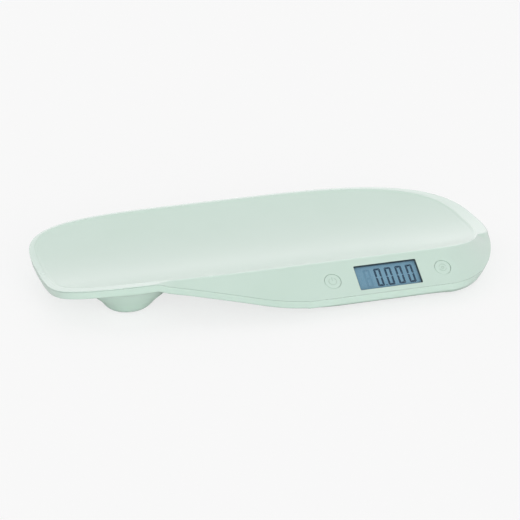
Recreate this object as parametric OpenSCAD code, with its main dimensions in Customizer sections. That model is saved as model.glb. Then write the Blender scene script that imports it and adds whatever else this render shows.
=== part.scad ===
// Digital baby weighing scale: a shallow tray on four feet, with a sloping console at the front right.
// Length runs along X, the front is -Y, and the ground is at z = 0 under the middle of the outline.

/* [Tray] */
// Length of the whole tray, end to end
tray_length = 550; // [500:5:600]
// Width of the tray without the console
tray_width = 236; // [220:2:250]
// Height of the side rims above the ground
rim_height = 50; // [47:1:60]
// Depth of the trough from the side crease to its floor
trough_depth = 17.4; // [14:0.2:18.4]
// Thickness from the trough floor to the underside of the tray
tray_thickness = 10.5; // [10:0.25:12]
// Wall of both shells
wall = 2.4; // [2:0.1:2.8]
// Width of the flat rim strip along the back
rim_back = 6.5; // [4:0.5:10]
// Width of the flat rim strip at the right end
rim_right = 21; // [14:1:26]
// Width of the bevel at the left end
rim_left = 7; // [5:0.5:10]
// Width of the thin rim along the console
rim_front = 2.5; // [2:0.1:4]
// Height of the side band of the lower shell
band_height = 9.5; // [8:0.5:11]
// Open seam between the two shells
seam = 0.3; // [0.2:0.05:0.5]

/* [Console] */
// How far the console stands forward of the tray
apron_depth = 40; // [38:0.5:44]
// Tilt of the console from level
apron_tilt = 35; // [33:0.5:36]
// Height of the belly's flat underside above the ground
belly_height = 4; // [3.6:0.1:5]

/* [Display] */
// Distance from the right end to the centre of the window
display_end = 175; // [170:1:180]
// Width of the window
window_w = 75.6; // [68:0.2:80]
// Height of the window along the slope
window_h = 32.6; // [28:0.2:33]
// Distance from the top edge of the console to the centre of window and buttons
console_line = 26; // [25:0.25:27]
// Thickness of the clear lens
lens_t = 1; // [0.8:0.1:1.2]
// Thickness of the foam ring between lens and glass
gasket_t = 0.8; // [0.6:0.1:1]
// Thickness of the glass sandwich
glass_t = 2.2; // [1.8:0.1:2.4]
// Height of one digit
digit_h = 24; // [20:0.5:26]
// Width of one digit
digit_w = 8.2; // [7:0.2:9]
// Distance from digit to digit
digit_pitch = 12.9; // [12:0.1:13.5]

/* [Buttons] */
// Diameter of a button cap
button_d = 19; // [16:0.5:19.5]
// Distance of each button from the window's centre
button_offset = 67; // [65:0.5:69]
// Open ring around a button cap
button_gap = 0.3; // [0.25:0.05:0.5]
// Travel of a button
button_travel = 0.5; // [0.3:0.05:0.6]

/* [Feet] */
// Distance of the feet from the tray's ends
foot_end = 87; // [80:1:95]
// Distance of the feet from the tray's sides
foot_side = 60; // [57:0.5:62]
// Diameter of a rubber pad
pad_d = 26; // [22:0.5:27]
// Thickness of a rubber pad
pad_t = 2.2; // [2:0.1:2.8]
// Side of a square load cell
cell_side = 34; // [32:0.5:34.5]
// Thickness of a load cell
cell_t = 3; // [2:0.1:3.2]

/* [Batteries] */
// Diameter of a battery
battery_d = 10.3; // [9.8:0.1:10.6]
// Length of a battery without its nub
battery_l = 43.5; // [42:0.5:44.5]

/* [Fasteners] */
// Thread diameter of the shell screws
screw_d = 3; // [2.6:0.1:3.2]
// Thread diameter of the board screws
board_screw_d = 2; // [1.8:0.1:2.4]
// Diameter of a load cell lead
lead_d = 2; // [1.6:0.1:2.4]

/* [Hidden] */

mint = [0.80, 0.90, 0.84];
mint_dark = [0.74, 0.85, 0.79];
steel = [0.72, 0.73, 0.75];

// Tray frame: half sizes, and the trough as a parabola across the width
half_l = tray_length / 2;
half_w = tray_width / 2;
tray_y = apron_depth / 2;
rim_lip = 0.6;
floor_z = rim_height - rim_lip - trough_depth;
crease_w = half_w - rim_back;
skirt = 1.5;
display_x = half_l - display_end;
foot_x = half_l - foot_end;
foot_y = half_w - foot_side;

function trough_z(y) = floor_z + trough_depth * pow((y - tray_y) / crease_w, 2);
function smooth(t) = let (c = min(1, max(0, t))) c * c * (3 - 2 * c);
function mix(a, b, t) = a + (b - a) * t;

// Console: its top edge is the tray's front edge, and its face is the plane that both ends share
edge_y = tray_y - half_w;
edge_z = trough_z(edge_y + rim_front) + 0.1;
apron_low_z = edge_z - apron_depth * tan(apron_tilt);
apron_start = 127 - half_l;
apron_run = 165;
apron_ease = 0.05;
tip_x = apron_start - 20;
tip_run = 14;
strip_start = apron_start - 42;
strip_run = 130;

// Share of the full console that stands out at x, from 0 at its left tip to 1 where it is whole
function apron_share(x) = let (u = min(1, max(0, (x - apron_start) / apron_run)))
    sin(90 * min(1, (1 + apron_ease) * u * u / (u + apron_ease)));

// Front line of the trough, from the wide strip at the left to the thin rim along the console
crease_left_w = half_w - 14;
crease_front_w = half_w - rim_front;
function front_crease(x) = mix(crease_left_w, crease_front_w, smooth((x - strip_start) / strip_run));
function crease_z(x) = trough_z(tray_y - front_crease(x));

// Lower edge of the upper shell along the front, on the console's slope from its left tip on
function low_edge(x) = half_w + apron_depth * apron_share(x);
function slope_z(x) = crease_z(x) + 0.1 - tan(apron_tilt) * (low_edge(x) - front_crease(x) - rim_front);
function low_z(x) = mix(rim_height - skirt, slope_z(x), smooth((x - tip_x) / (2 * tip_run)));

// A quarter outline: q = [half length, half width, corner length, corner width, length power, width power]
end_steps = 14;
side_steps = 16;
quarter = end_steps + side_steps;
ring_n = 4 * quarter;

function corner_x(y, q) = let (t = max(0, (y - (q[1] - q[3])) / q[3]))
    q[0] - q[2] + q[2] * pow(max(0, 1 - pow(t, q[5])), 1 / q[4]);
function corner_y(x, q) = let (t = max(0, (x - (q[0] - q[2])) / q[2]))
    q[1] - q[3] + q[3] * pow(max(0, 1 - pow(t, q[4])), 1 / q[5]);
function quarter_pts(q) = let (
        split_x = q[0] - q[2] + q[2] * pow(2, -1 / q[4]),
        split_y = q[1] - q[3] + q[3] * pow(2, -1 / q[5]))
    [for (k = [0:quarter])
        k <= end_steps
            ? let (y = split_y * sin(90 * k / end_steps)) [corner_x(y, q), y]
            : let (x = split_x * (1 - pow((k - end_steps) / side_steps, 1.25))) [x, corner_y(x, q)]];

// A closed outline from its four quarters, counted from the right end round the back
function outline(rear_right, rear_left, front_left, front_right) = let (
        a = quarter_pts(rear_right), b = quarter_pts(rear_left),
        c = quarter_pts(front_left), d = quarter_pts(front_right))
    concat([for (k = [0:quarter - 1]) [a[k][0], a[k][1] + tray_y]],
        [for (k = [0:quarter - 1]) [-b[quarter - k][0], b[quarter - k][1] + tray_y]],
        [for (k = [0:quarter - 1]) [-c[k][0], -c[k][1] + tray_y]],
        [for (k = [0:quarter - 1]) [d[quarter - k][0], -d[quarter - k][1] + tray_y]]);
function outward(pts, i) = let (n = len(pts), a = pts[(i + n - 1) % n], b = pts[(i + 1) % n],
        d = [b[1] - a[1], a[0] - b[0]]) d / norm(d);
function inset(pts, by) = [for (i = [0:len(pts) - 1]) pts[i] - by[i] * outward(pts, i)];

is_front = [for (i = [0:ring_n - 1]) i > 2 * quarter ? 1 : 0];
is_front_right = [for (i = [0:ring_n - 1]) i >= 3 * quarter ? 1 : 0];

// Widens the front left outline from from_w to to_w as the share grows
function stretched(pts, base_w, share) = [for (i = [0:ring_n - 1])
    i > 2 * quarter && i < 3 * quarter
        ? [pts[i][0], tray_y - (tray_y - pts[i][1]) * share[i] / base_w]
        : pts[i]];

// Crease ring: where the trough meets the rim strip
crease_right = half_l - rim_right;
crease_left = half_l - rim_left;
crease_raw = outline(
    [crease_right, crease_w, crease_right, crease_w, 3.3, 3.3],
    [crease_left, crease_w, crease_left, crease_w, 5.2, 5.2],
    [crease_left, crease_front_w, crease_left, crease_front_w, 5.2, 5.2],
    [crease_right, crease_front_w, 84, crease_front_w, 1.73, 2.1]);
crease = stretched(crease_raw, crease_front_w, [for (p = crease_raw) front_crease(p[0])]);

// Rim ring: the outer edge of the rim strip, which turns in to the console's edge at the front right nose
nose_from = 21;
nose_turn = 24;
full_w = half_w + apron_depth;
right_corner = [half_l, half_w, half_l, half_w, 3.25, 3.25];
left_corner = [half_l, half_w, half_l, half_w, 4.8, 4.8];
rim_outer = outline(right_corner, left_corner, left_corner, [half_l, full_w, 140, full_w, 1.72, 1.72]);
console_edge = inset(crease, [for (i = [0:ring_n - 1]) -rim_front]);
// How far the rim has turned in to the console's edge: at the left tip, and at the nose at the right end
turned = [for (i = [0:ring_n - 1])
    is_front_right[i] == 1 ? smooth((90 * (ring_n - i) / end_steps - nose_from) / nose_turn)
    : is_front[i] * smooth((rim_outer[i][0] - tip_x) / tip_run)];
rim = [for (i = [0:ring_n - 1]) mix(rim_outer[i], console_edge[i], turned[i])];
function side_share(y) = min(1, pow((y - tray_y) / half_w, 2));
function rim_z(p) = p[0] < 0
    ? mix(floor_z - 1, rim_height, side_share(p[1]))
    : mix(floor_z - 2.5, rim_height, side_share(p[1]));
rim_zs = [for (i = [0:ring_n - 1]) mix(rim_z(rim_outer[i]), trough_z(crease[i][1]) + 0.1, turned[i])];

// Parting ring: lower edge of the upper shell, along the foot of the console
corner_reach = 105;
parting_raw = outline(right_corner, left_corner, left_corner, [half_l, full_w, 101, full_w, 1.77, 1.585]);
parting_share = [for (i = [0:ring_n - 1]) is_front_right[i] == 1 ? 1 : is_front[i] * apron_share(parting_raw[i][0])];
parting = stretched(parting_raw, half_w, [for (i = [0:ring_n - 1]) half_w + apron_depth * parting_share[i]]);
// Share of the way round the front right corner, from the middle of the right end to the console
corner_share = [for (i = [0:ring_n - 1]) smooth((tray_y - parting[i][1]) / corner_reach)];
parting_zs = [for (i = [0:ring_n - 1])
    is_front_right[i] == 1 ? mix(rim_z(rim_outer[i]) - skirt - 2.5, apron_low_z, corner_share[i])
    : is_front[i] == 1 ? min(rim_z(rim_outer[i]) - skirt, low_z(parting[i][0]))
    : parting[i][0] > 0 ? rim_zs[i] - skirt - 2.5 * smooth(1 - (parting[i][1] - tray_y) / 100)
    : rim_zs[i] - skirt];

// Underside: level with the trough, drawn down to the belly at the front right
cell_seat_z = 15;
flare_z = 9;
flare_in = 20;
flare_out = 56;
belly_line = tray_y - 45;
belly_back = tray_y + 10;
belly_front = edge_y + 8;
belly_start = apron_start + 88;
belly_run = 100;
function belly_z(x) = mix(low_z(x) - band_height - 0.5, belly_height, smooth((x - belly_start) / belly_run));
function belly_share(x, y) = let (full = mix(belly_front, belly_line, smooth((x - apron_start - 48) / 120)))
    smooth((belly_back - y) / (belly_back - full));
function tray_under(x, y) = let (z = trough_z(y) - tray_thickness)
    z - max(0, z - belly_z(x)) * belly_share(x, y);
function flare(x, y) = max([for (f = feet) smooth(1 - (norm([x, y] - f) - flare_in) / (flare_out - flare_in))]);
function under_z(x, y) = let (z = tray_under(x, y)) z - max(0, z - flare_z) * flare(x, y);
feet = [for (sx = [-1, 1], sy = [-1, 1]) [sx * foot_x, tray_y + sy * foot_y]];

// Band ring: lower edge of the side band, and the belly ring inside it
turn_run = 80;
turn_end = 125;
function corner_turn(i) = is_front_right[i] * smooth((parting[i][0] - half_l + turn_end) / turn_run);
band = inset(parting, [for (i = [0:ring_n - 1]) 2 + 0.3 * parting_share[i] + 4 * corner_turn(i)]);
band_zs = [for (i = [0:ring_n - 1])
    mix(parting_zs[i] - band_height, apron_low_z - band_height - 1.3 * corner_turn(i),
        is_front_right[i] * corner_share[i])];
belly_inset = 20;
belly = inset(parting, [for (i = [0:ring_n - 1])
    max(7, parting_share[i] * (belly_inset - 10 * corner_turn(i)))]);

function up(ring2, zs) = [for (i = [0:ring_n - 1]) [ring2[i][0], ring2[i][1], zs[i]]];
function lifted(ring2, lift) = [for (p = ring2) [p[0], p[1], under_z(p[0], p[1]) + lift]];

// Closed solid from a stack of rings, with ladders of rungs across the first ring and the last
rung_n = ring_n / 2;
tray_rungs = 16;
base_rungs = 26;
module ring_solid(rings, rung_parts, top_z, low_z) {
    count = len(rings);
    inner_n = (rung_n - 1) * (rung_parts - 1);
    function rung_pts(r, zf) = [for (j = [1:rung_n - 1], f = [1:rung_parts - 1])
        let (p = mix(r[j], r[ring_n - j], f / rung_parts)) zf([p[0], p[1]])];
    points = concat([for (r = rings) each r], rung_pts(rings[0], top_z), rung_pts(rings[count - 1], low_z));
    function at(r, base, j, f) = f == 0 || j == 0 || j == rung_n ? r * ring_n + j
        : f == rung_parts ? r * ring_n + ring_n - j
        : base + (j - 1) * (rung_parts - 1) + f - 1;
    function ladder(r, base) = [for (j = [0:rung_n - 1], f = [0:rung_parts - 1])
        let (a = at(r, base, j, f), b = at(r, base, j, f + 1), c = at(r, base, j + 1, f + 1), d = at(r, base, j + 1, f))
        each [if (a != b && b != c) [a, b, c], if (c != d && d != a) [a, c, d]]];
    sides = [for (r = [0:count - 2], i = [0:ring_n - 1])
        let (k = (i + 1) % ring_n, a = r * ring_n + i, b = r * ring_n + k, c = a + ring_n, d = b + ring_n)
        each [[a, b, d], [a, d, c]]];
    low = [for (t = ladder(count - 1, count * ring_n + inner_n)) [t[0], t[2], t[1]]];
    polyhedron(points, concat(ladder(0, count * ring_n), sides, low));
}

// Tube along a route, with flat ends
tube_sides = 8;
module tube(route, d) {
    n = len(route);
    function heading(i) = let (v = route[min(n - 1, i + 1)] - route[max(0, i - 1)]) v / norm(v);
    function side_dir(i) = let (t = heading(i), s = cross(t, [0, 0, 1])) s / norm(s);
    points = [for (i = [0:n - 1], k = [0:tube_sides - 1])
        let (s = side_dir(i), u = cross(s, heading(i)), a = 360 * k / tube_sides)
        route[i] + d / 2 * (cos(a) * s + sin(a) * u)];
    walls = [for (i = [0:n - 2], k = [0:tube_sides - 1])
        let (m = (k + 1) % tube_sides, a = i * tube_sides + k, b = i * tube_sides + m)
        each [[a, b, b + tube_sides], [a, b + tube_sides, a + tube_sides]]];
    polyhedron(points, concat(walls, [[for (k = [tube_sides - 1:-1:0]) k]],
        [[for (k = [0:tube_sides - 1]) (n - 1) * tube_sides + k]]));
}

// Places children on the console: x along it, s down the slope from its top edge, d below its face
module on_console(x, s, d = 0) {
    translate([x, edge_y, edge_z]) rotate([apron_tilt, 0, 0]) translate([0, -s, -d]) children();
}
module console_box(x, s, d0, d1, w, h) {
    on_console(x, s, d1) translate([-w / 2, -h / 2, 0]) cube([w, h, d1 - d0]);
}
module console_rod(x, s, d0, d1, d) {
    on_console(x, s, d1) cylinder(d = d, h = d1 - d0, $fn = 48);
}

// Depths below the console's face
seat_d = wall + 0.1;
gasket_d = seat_d + lens_t;
glass_d = gasket_d + gasket_t;
light_d = glass_d + glass_t + 0.1;
board_d = 10;
board_t = 1.6;
board_back = board_d + board_t;
lens_w = window_w + 6.4;
lens_h = window_h + 6.4;
glass_w = lens_w - 2;
glass_h = lens_h - 2;
light_h = glass_h - 9.2;
strip_t = 2.2;
board_w = 2 * button_offset + 22;
board_h = 36;
board_hole_x = board_w / 2 - 4;
board_hole_s = board_h / 2 - 3;
button_bore = button_d + 2 * button_gap;
flange_d = button_bore + 2.4;
flange_top = seat_d + 0.2;
flange_t = 1;
pusher_d = 5;
stem_d = 3.5;
switch_h = 3.4;
switch_top = board_d - switch_h;
stem_top = switch_top - 0.8;
stem_low = stem_top + 1.7;
stem_well = stem_low + button_travel + 0.2;
button_xs = [display_x - button_offset, display_x + button_offset];

// Batteries lie along X in one box in the belly
battery_pitch = battery_d + 0.7;
box_x = display_x - 15;
box_y = edge_y + 16;
spring_room = 5.6;
nub = 1;
plate_t = 0.4;
room_l = battery_l + nub + spring_room + plate_t + 1.5;
room_w = 3 * battery_pitch + 0.8;
box_wall = 2.4;
door_t = 1.8;
door_lip = 1.6;
room_z0 = belly_height + door_t + 0.2;
room_z1 = room_z0 + battery_d + 0.9;
battery_z = room_z0 + 0.4 + battery_d / 2;
recess_l = room_l + 2 * door_lip;
recess_w = room_w + 2 * door_lip;
hinge_r = 0.9;
hinge_x = box_x - recess_l / 2 + 0.3 + hinge_r;
hinge_z = belly_height + hinge_r;
pin_r = 0.7;
room_x0 = box_x - room_l / 2;
lead_hole_x = room_x0 + 10;
lead_hole_z = room_z1 - lead_d / 2 - 0.8;
tab_w = 9;
tab_l = 1.4;
tab_t = 1.1;
grip_depth = 0.4;

// Foot housings
post_gap = 0.6;
post_r = pad_d / 2 + 0.2;
mouth_r = post_r + post_gap;
cup_low = belly_height - 2.2;
cup_floor = cup_low + wall;
cup_top = 20;
cell_r = cell_side * sqrt(2) / 2 + 1.2;
cup_r = cell_r + 2.2;
cell_hold = cell_side / 2 - 3.4;

// Stations of the screws that join the shells
head_d = 5.6;
head_t = 2.2;
head_recess = 0.8;
grip_t = 1.8;
boss_d = 9;
bite = 2.9;
side_station = half_w - 38;
left_station = -0.4 * half_l;
stations = [[-half_l + 40, tray_y], [left_station, tray_y + side_station], [left_station, tray_y - side_station],
    [display_x - 40, tray_y + side_station], [half_l - 36, tray_y + 10], [display_x - 88, edge_y + 18],
    [display_x + 50, edge_y + 13]];
function seat_z(p) = tray_under(p[0], p[1]) + head_recess + head_t;
function joint_z(p) = seat_z(p) + grip_t;

// Upper shell: trough, rim strip, console and the bosses beneath them
module tray_shell() {
    lean = wall / sin(apron_tilt);
    inner_rim = [for (i = [0:ring_n - 1]) let (v = crease[i] - rim[i])
        rim[i] + v * min(0.8, mix(wall, 0.7, turned[i]) / norm(v))];
    inner_rim_z = [for (z = rim_zs) z - wall];
    skin_in = [for (i = [0:ring_n - 1])
        mix(wall, lean, turned[i] * (is_front_right[i] == 1 ? corner_share[i] * (1 - corner_turn(i)) : 1))];
    inner_crease = inset(crease, [for (i = [0:ring_n - 1]) 0.8]);
    color(mint) {
        difference() {
            union() {
                ring_solid([
                        [for (p = crease) [p[0], p[1], trough_z(p[1])]],
                        up(rim, rim_zs),
                        up(parting, parting_zs),
                        up(inset(parting, skin_in), parting_zs),
                        up(inner_rim, inner_rim_z),
                        [for (p = inner_crease) [p[0], p[1], trough_z(p[1]) - wall]]
                    ],
                    tray_rungs,
                    function (p) [p[0], p[1], trough_z(p[1])],
                    function (p) [p[0], p[1], trough_z(p[1]) - wall]);
                console_box(display_x, console_line, 1, seat_d, lens_w + 5, lens_h + 3);
                for (x = button_xs) console_rod(x, console_line, 1, seat_d, flange_d + 4);
                for (x = [-1, 1], s = [-1, 1])
                    console_rod(display_x + x * board_hole_x, console_line + s * board_hole_s, 1.2, board_d, 5);
                for (p = stations) translate([p[0], p[1], joint_z(p)])
                    cylinder(d = boss_d - 1, h = trough_z(p[1]) - 1.3 - joint_z(p), $fn = 48);
            }
            console_box(display_x, console_line, -4, seat_d + 1, window_w, window_h);
            for (x = button_xs) {
                console_rod(x, console_line, -4, seat_d + 1, button_bore);
                console_rod(x, console_line, seat_d, stem_top, flange_d + 0.8);
            }
            for (x = [-1, 1], s = [-1, 1])
                console_rod(display_x + x * board_hole_x, console_line + s * board_hole_s, board_d - 5, board_d + 1,
                    board_screw_d + 0.1);
            for (p = stations) translate([p[0], p[1], joint_z(p) - 1])
                cylinder(d = screw_d + 0.1, h = bite + 1.2, $fn = 32);
        }
    }
}

// Outer and inner profile of a foot housing, from the mouth outwards
cup_outer = [[0, cup_low], [mouth_r + 2, cup_low], [19.5, cup_low + 1], [22.5, cup_low + 3.4], [25, cup_low + 6.8],
    [cup_r, cup_low + 12], [cup_r, cup_top], [0, cup_top]];
cup_inner = [[0, cup_low - 1], [mouth_r, cup_low - 1], [mouth_r, cup_floor], [mouth_r + 3, cup_floor],
    [19.5, cup_floor + 1.6], [22, cup_floor + 4.6], [cell_r, cup_floor + 9], [cell_r, cup_top + 20], [0, cup_top + 20]];

// Lower shell: side band, underside, foot housings, battery box and screw bosses
wall_fall = 1.6;
module base_shell() {
    seam_zs = [for (z = parting_zs) z - seam];
    color(mint_dark) {
        difference() {
            union() {
                ring_solid([
                        lifted(inset(belly, [for (i = [0:ring_n - 1]) 0.6]), wall),
                        up(inset(band, [for (i = [0:ring_n - 1]) wall]), [for (z = band_zs) z + 1.5]),
                        up(inset(parting, [for (i = [0:ring_n - 1]) wall]), [for (z = seam_zs) z - wall_fall]),
                        up(parting, seam_zs),
                        up(band, band_zs),
                        lifted(belly, 0)
                    ],
                    base_rungs,
                    function (p) [p[0], p[1], under_z(p[0], p[1]) + wall],
                    function (p) [p[0], p[1], under_z(p[0], p[1])]);
                for (f = feet) translate([f[0], f[1], 0]) rotate_extrude($fn = 72) polygon(cup_outer);
                translate([box_x - room_l / 2 - box_wall, box_y - room_w / 2 - box_wall, belly_height + 0.2])
                    cube([room_l + 2 * box_wall, room_w + 2 * box_wall, room_z1 + box_wall - belly_height - 0.2]);
                for (p = stations) translate([p[0], p[1], seat_z(p) - 1.8])
                    cylinder(d = boss_d, h = joint_z(p) - seat_z(p) + 1.8, $fn = 48);
            }
            for (f = feet) translate([f[0], f[1], 0]) rotate_extrude($fn = 72) polygon(cup_inner);
            translate([box_x - room_l / 2, box_y - room_w / 2, 0]) cube([room_l, room_w, room_z1]);
            translate([box_x - recess_l / 2, box_y - recess_w / 2, 0]) cube([recess_l, recess_w, room_z0]);
            translate([hinge_x, box_y - recess_w / 2 - 1.6, hinge_z]) rotate([-90, 0, 0])
                cylinder(r = pin_r + 0.15, h = recess_w + 3.2, $fn = 32);
            for (p = stations) translate([p[0], p[1], 0]) {
                cylinder(d = head_d + 0.6, h = seat_z(p), $fn = 32);
                cylinder(d = screw_d + 0.4, h = joint_z(p) + 1, $fn = 32);
            }
            translate([lead_hole_x, box_y + room_w / 2 - 1, lead_hole_z]) rotate([-90, 0, 0])
                cylinder(d = lead_d + 0.4, h = box_wall + 2, $fn = 24);
            translate([box_x + recess_l / 2 - 1, box_y - tab_w / 2 - 0.3, 0])
                cube([tab_l + 1.4, tab_w + 0.6, belly_height + tab_t + 0.3]);
        }
        for (f = feet, x = [-1, 1], y = [-1, 1])
            translate([f[0] + x * cell_hold, f[1] + y * cell_hold, cup_floor + 0.6]) difference() {
                cylinder(d = 5.6, h = cell_seat_z - cup_floor - 0.6, $fn = 32);
                if (x == y) translate([0, 0, cell_seat_z - cup_floor - 4.6])
                    cylinder(d = board_screw_d + 0.1, h = 6, $fn = 24);
            }
    }
}

// Display stack behind the window
module display_lens() {
    color([0.85, 0.9, 0.95, 0.4]) console_box(display_x, console_line, seat_d, gasket_d, lens_w, lens_h);
}
module display_gasket() {
    color("dimgray") difference() {
        console_box(display_x, console_line, gasket_d, glass_d, glass_w, glass_h);
        console_box(display_x, console_line, gasket_d - 1, glass_d + 1, window_w + 1.2, window_h + 1.2);
    }
}
module lcd_glass() {
    color([0.42, 0.58, 0.67]) console_box(display_x, console_line, glass_d, glass_d + glass_t, glass_w, glass_h);
}

// One digit zero: six bars, each with mitred ends
bar_w = 1.9;
bar_gap = 0.35;
digit_t = 0.15;
module bar(a, b) {
    v = b - a;
    u = v / norm(v);
    w = [-u[1], u[0]] * bar_w / 2;
    p = a + u * bar_gap;
    q = b - u * bar_gap;
    polygon([p, p + u * bar_w / 2 + w, q - u * bar_w / 2 + w, q, q - u * bar_w / 2 - w, p + u * bar_w / 2 - w]);
}
module zero_digit() {
    x = digit_w / 2 - bar_w / 2;
    y = digit_h / 2 - bar_w / 2;
    corners = [[-x, 0], [-x, y], [x, y], [x, 0], [x, -y], [-x, -y]];
    for (k = [0:5]) bar(corners[k], corners[(k + 1) % 6]);
}
first_digit = -window_w / 2 + 0.31 * window_w + digit_w / 2;
module lcd_digits() {
    color([0.2, 0.31, 0.41]) on_console(display_x, console_line, glass_d) linear_extrude(digit_t) {
        for (k = [0:3]) translate([first_digit + k * digit_pitch, 0]) zero_digit();
        translate([first_digit + digit_pitch / 2, -digit_h / 2 + 0.9]) square(1.5, center = true);
    }
}
module lcd_frame() {
    color("whitesmoke") difference() {
        console_box(display_x, console_line, glass_d, board_d, lens_w + 2, lens_h + 1);
        console_box(display_x, console_line, glass_d - 1, board_d + 1, glass_w + 0.4, glass_h + 0.4);
    }
}
module lcd_backlight() {
    color("white") console_box(display_x, console_line, light_d, board_d - 0.6, glass_w - 2, light_h);
}
module zebra_strip(side) {
    color("pink") console_box(display_x, console_line + side * (light_h / 2 + 0.4 + strip_t / 2),
        glass_d + glass_t, board_d, glass_w - 6, strip_t);
}
module zebra_strip_upper() {
    zebra_strip(-1);
}
module zebra_strip_lower() {
    zebra_strip(1);
}

// Circuit board and what is soldered to it
module main_board() {
    color("darkgreen") difference() {
        console_box(display_x, console_line, board_d, board_back, board_w, board_h);
        for (x = [-1, 1], s = [-1, 1])
            console_rod(display_x + x * board_hole_x, console_line + s * board_hole_s, board_d - 1, board_back + 1,
                board_screw_d + 0.4);
    }
}
module board_controller() {
    color([0.12, 0.12, 0.13]) console_box(display_x - 24, console_line, board_back, board_back + 1.6, 14, 14);
}
module board_parts() {
    color("tan") {
        for (k = [0:4]) console_box(display_x - 8 + 5 * k, console_line - 9, board_back, board_back + 0.8, 3.2, 1.6);
        for (k = [0:2]) console_box(display_x + 36 + 6 * k, console_line + 8, board_back, board_back + 1.1, 3.2, 2.5);
        console_rod(display_x + 44, console_line - 8, board_back, board_back + 5, 6.3);
    }
}
connector_x = display_x + 20;
connector_s = console_line + 9;
lead_pitch = 3.2;
connector_w = 5 * lead_pitch + 1;
connector_t = 4;
module lead_connector() {
    color("ivory") console_box(connector_x, connector_s, board_back, board_back + connector_t, connector_w, 5);
}
module board_screws() {
    color(steel) for (x = [-1, 1], s = [-1, 1]) {
        console_rod(display_x + x * board_hole_x, console_line + s * board_hole_s, board_back, board_back + 1.4, 3.8);
        console_rod(display_x + x * board_hole_x, console_line + s * board_hole_s, board_d - 4.5, board_back + 1,
            board_screw_d);
    }
}

// Buttons: a cap with a flange behind the console and a pusher on the switch stem
module button_cap(x) {
    color(mint) {
        console_rod(x, console_line, 0.3, flange_top + 0.2, button_d);
        console_rod(x, console_line, flange_top, flange_top + flange_t, flange_d);
        console_rod(x, console_line, flange_top, stem_top, pusher_d);
    }
}
module left_button() {
    button_cap(button_xs[0]);
}
module right_button() {
    button_cap(button_xs[1]);
}
module switch_body(x) {
    color([0.15, 0.15, 0.16]) difference() {
        console_box(x, console_line, switch_top, board_d, 6, 6);
        console_rod(x, console_line, switch_top - 1, stem_well, stem_d + 0.4);
    }
}
module left_switch() {
    switch_body(button_xs[0]);
}
module right_switch() {
    switch_body(button_xs[1]);
}
module switch_stem(x) {
    color("gray") console_rod(x, console_line, stem_top, stem_low, stem_d);
}
module left_switch_stem() {
    switch_stem(button_xs[0]);
}
module right_switch_stem() {
    switch_stem(button_xs[1]);
}

// Corner assembly: load cell, foot post and pad
cell_slot = 2;
tongue_w = 12;
module at_foot(k) {
    translate([feet[k][0], feet[k][1], 0]) children();
}
module load_cell(k) {
    color(steel) at_foot(k) difference() {
        translate([-cell_side / 2, -cell_side / 2, cell_seat_z]) cube([cell_side, cell_side, cell_t]);
        for (x = [-1, 1]) translate([x * (tongue_w / 2 + cell_slot / 2) - cell_slot / 2, -cell_side / 2 + 6, 0])
            cube([cell_slot, cell_side - 12, 40]);
        translate([-tongue_w / 2 - cell_slot, -cell_side / 2 + 6, 0]) cube([tongue_w + 2 * cell_slot, cell_slot, 40]);
        cylinder(d = 3.4, h = 40, $fn = 32);
        for (x = [-1, 1]) translate([x * cell_hold, x * cell_hold, 0])
            cylinder(d = board_screw_d + 0.4, h = 40, $fn = 24);
    }
}
module foot_post(k) {
    post_low = pad_t;
    flange_z = cup_floor + post_gap;
    color("gainsboro") at_foot(k) difference() {
        union() {
            translate([0, 0, post_low]) cylinder(r = post_r, h = flange_z + 1.2 - post_low, $fn = 64);
            translate([0, 0, flange_z]) cylinder(r = mouth_r + 1.6, h = 1.2, $fn = 64);
            translate([0, 0, flange_z]) cylinder(d = 9, h = cell_seat_z - flange_z, $fn = 48);
        }
        translate([0, 0, cell_seat_z - 7]) cylinder(d = 2.6, h = 8, $fn = 24);
    }
}
module foot_pad(k) {
    color("silver") at_foot(k) rotate_extrude($fn = 64)
        polygon([[0, 0], [pad_d / 2 - 1.2, 0], [pad_d / 2, 1.2], [pad_d / 2, pad_t], [0, pad_t]]);
}
module load_cell_front_left() {
    load_cell(0);
}
module load_cell_rear_left() {
    load_cell(1);
}
module load_cell_front_right() {
    load_cell(2);
}
module load_cell_rear_right() {
    load_cell(3);
}
module foot_post_front_left() {
    foot_post(0);
}
module foot_post_rear_left() {
    foot_post(1);
}
module foot_post_front_right() {
    foot_post(2);
}
module foot_post_rear_right() {
    foot_post(3);
}
module foot_pad_front_left() {
    foot_pad(0);
}
module foot_pad_rear_left() {
    foot_pad(1);
}
module foot_pad_front_right() {
    foot_pad(2);
}
module foot_pad_rear_right() {
    foot_pad(3);
}
cell_top = cell_seat_z + cell_t;
module strain_gauges() {
    color("white") for (k = [0:3]) at_foot(k)
        translate([-4, 5, cell_top]) cube([8, 6, 1]);
}
module cell_screws() {
    color(steel) for (k = [0:3], x = [-1, 1]) at_foot(k) translate([x * cell_hold, x * cell_hold, 0]) {
        translate([0, 0, cell_top]) cylinder(d = 4, h = 1.4, $fn = 32);
        translate([0, 0, cell_seat_z - 4]) cylinder(d = board_screw_d, h = cell_t + 5, $fn = 24);
    }
}
module post_screws() {
    color(steel) for (k = [0:3]) at_foot(k) {
        translate([0, 0, cell_top]) cylinder(d = 5, h = 1.8, $fn = 32);
        translate([0, 0, cell_seat_z - 6]) cylinder(d = 2.5, h = cell_t + 7, $fn = 24);
    }
}

// Leads: each runs from its cell along the floor of the lower shell to the board's connector
lead_lift = wall + lead_d / 2 + 0.9;
lead_step = 12;
over_cell = max(cell_top + 2, cup_top) + lead_d / 2 + 0.4;
guard_r = cup_r + lead_step + lead_d;
function cell_guard(p) = max([for (f = feet) norm(p - f) < guard_r ? over_cell : 0]);
function floor_pt(p) = [p[0], p[1], max(under_z(p[0], p[1]) + lead_lift, cell_guard(p))];
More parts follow.
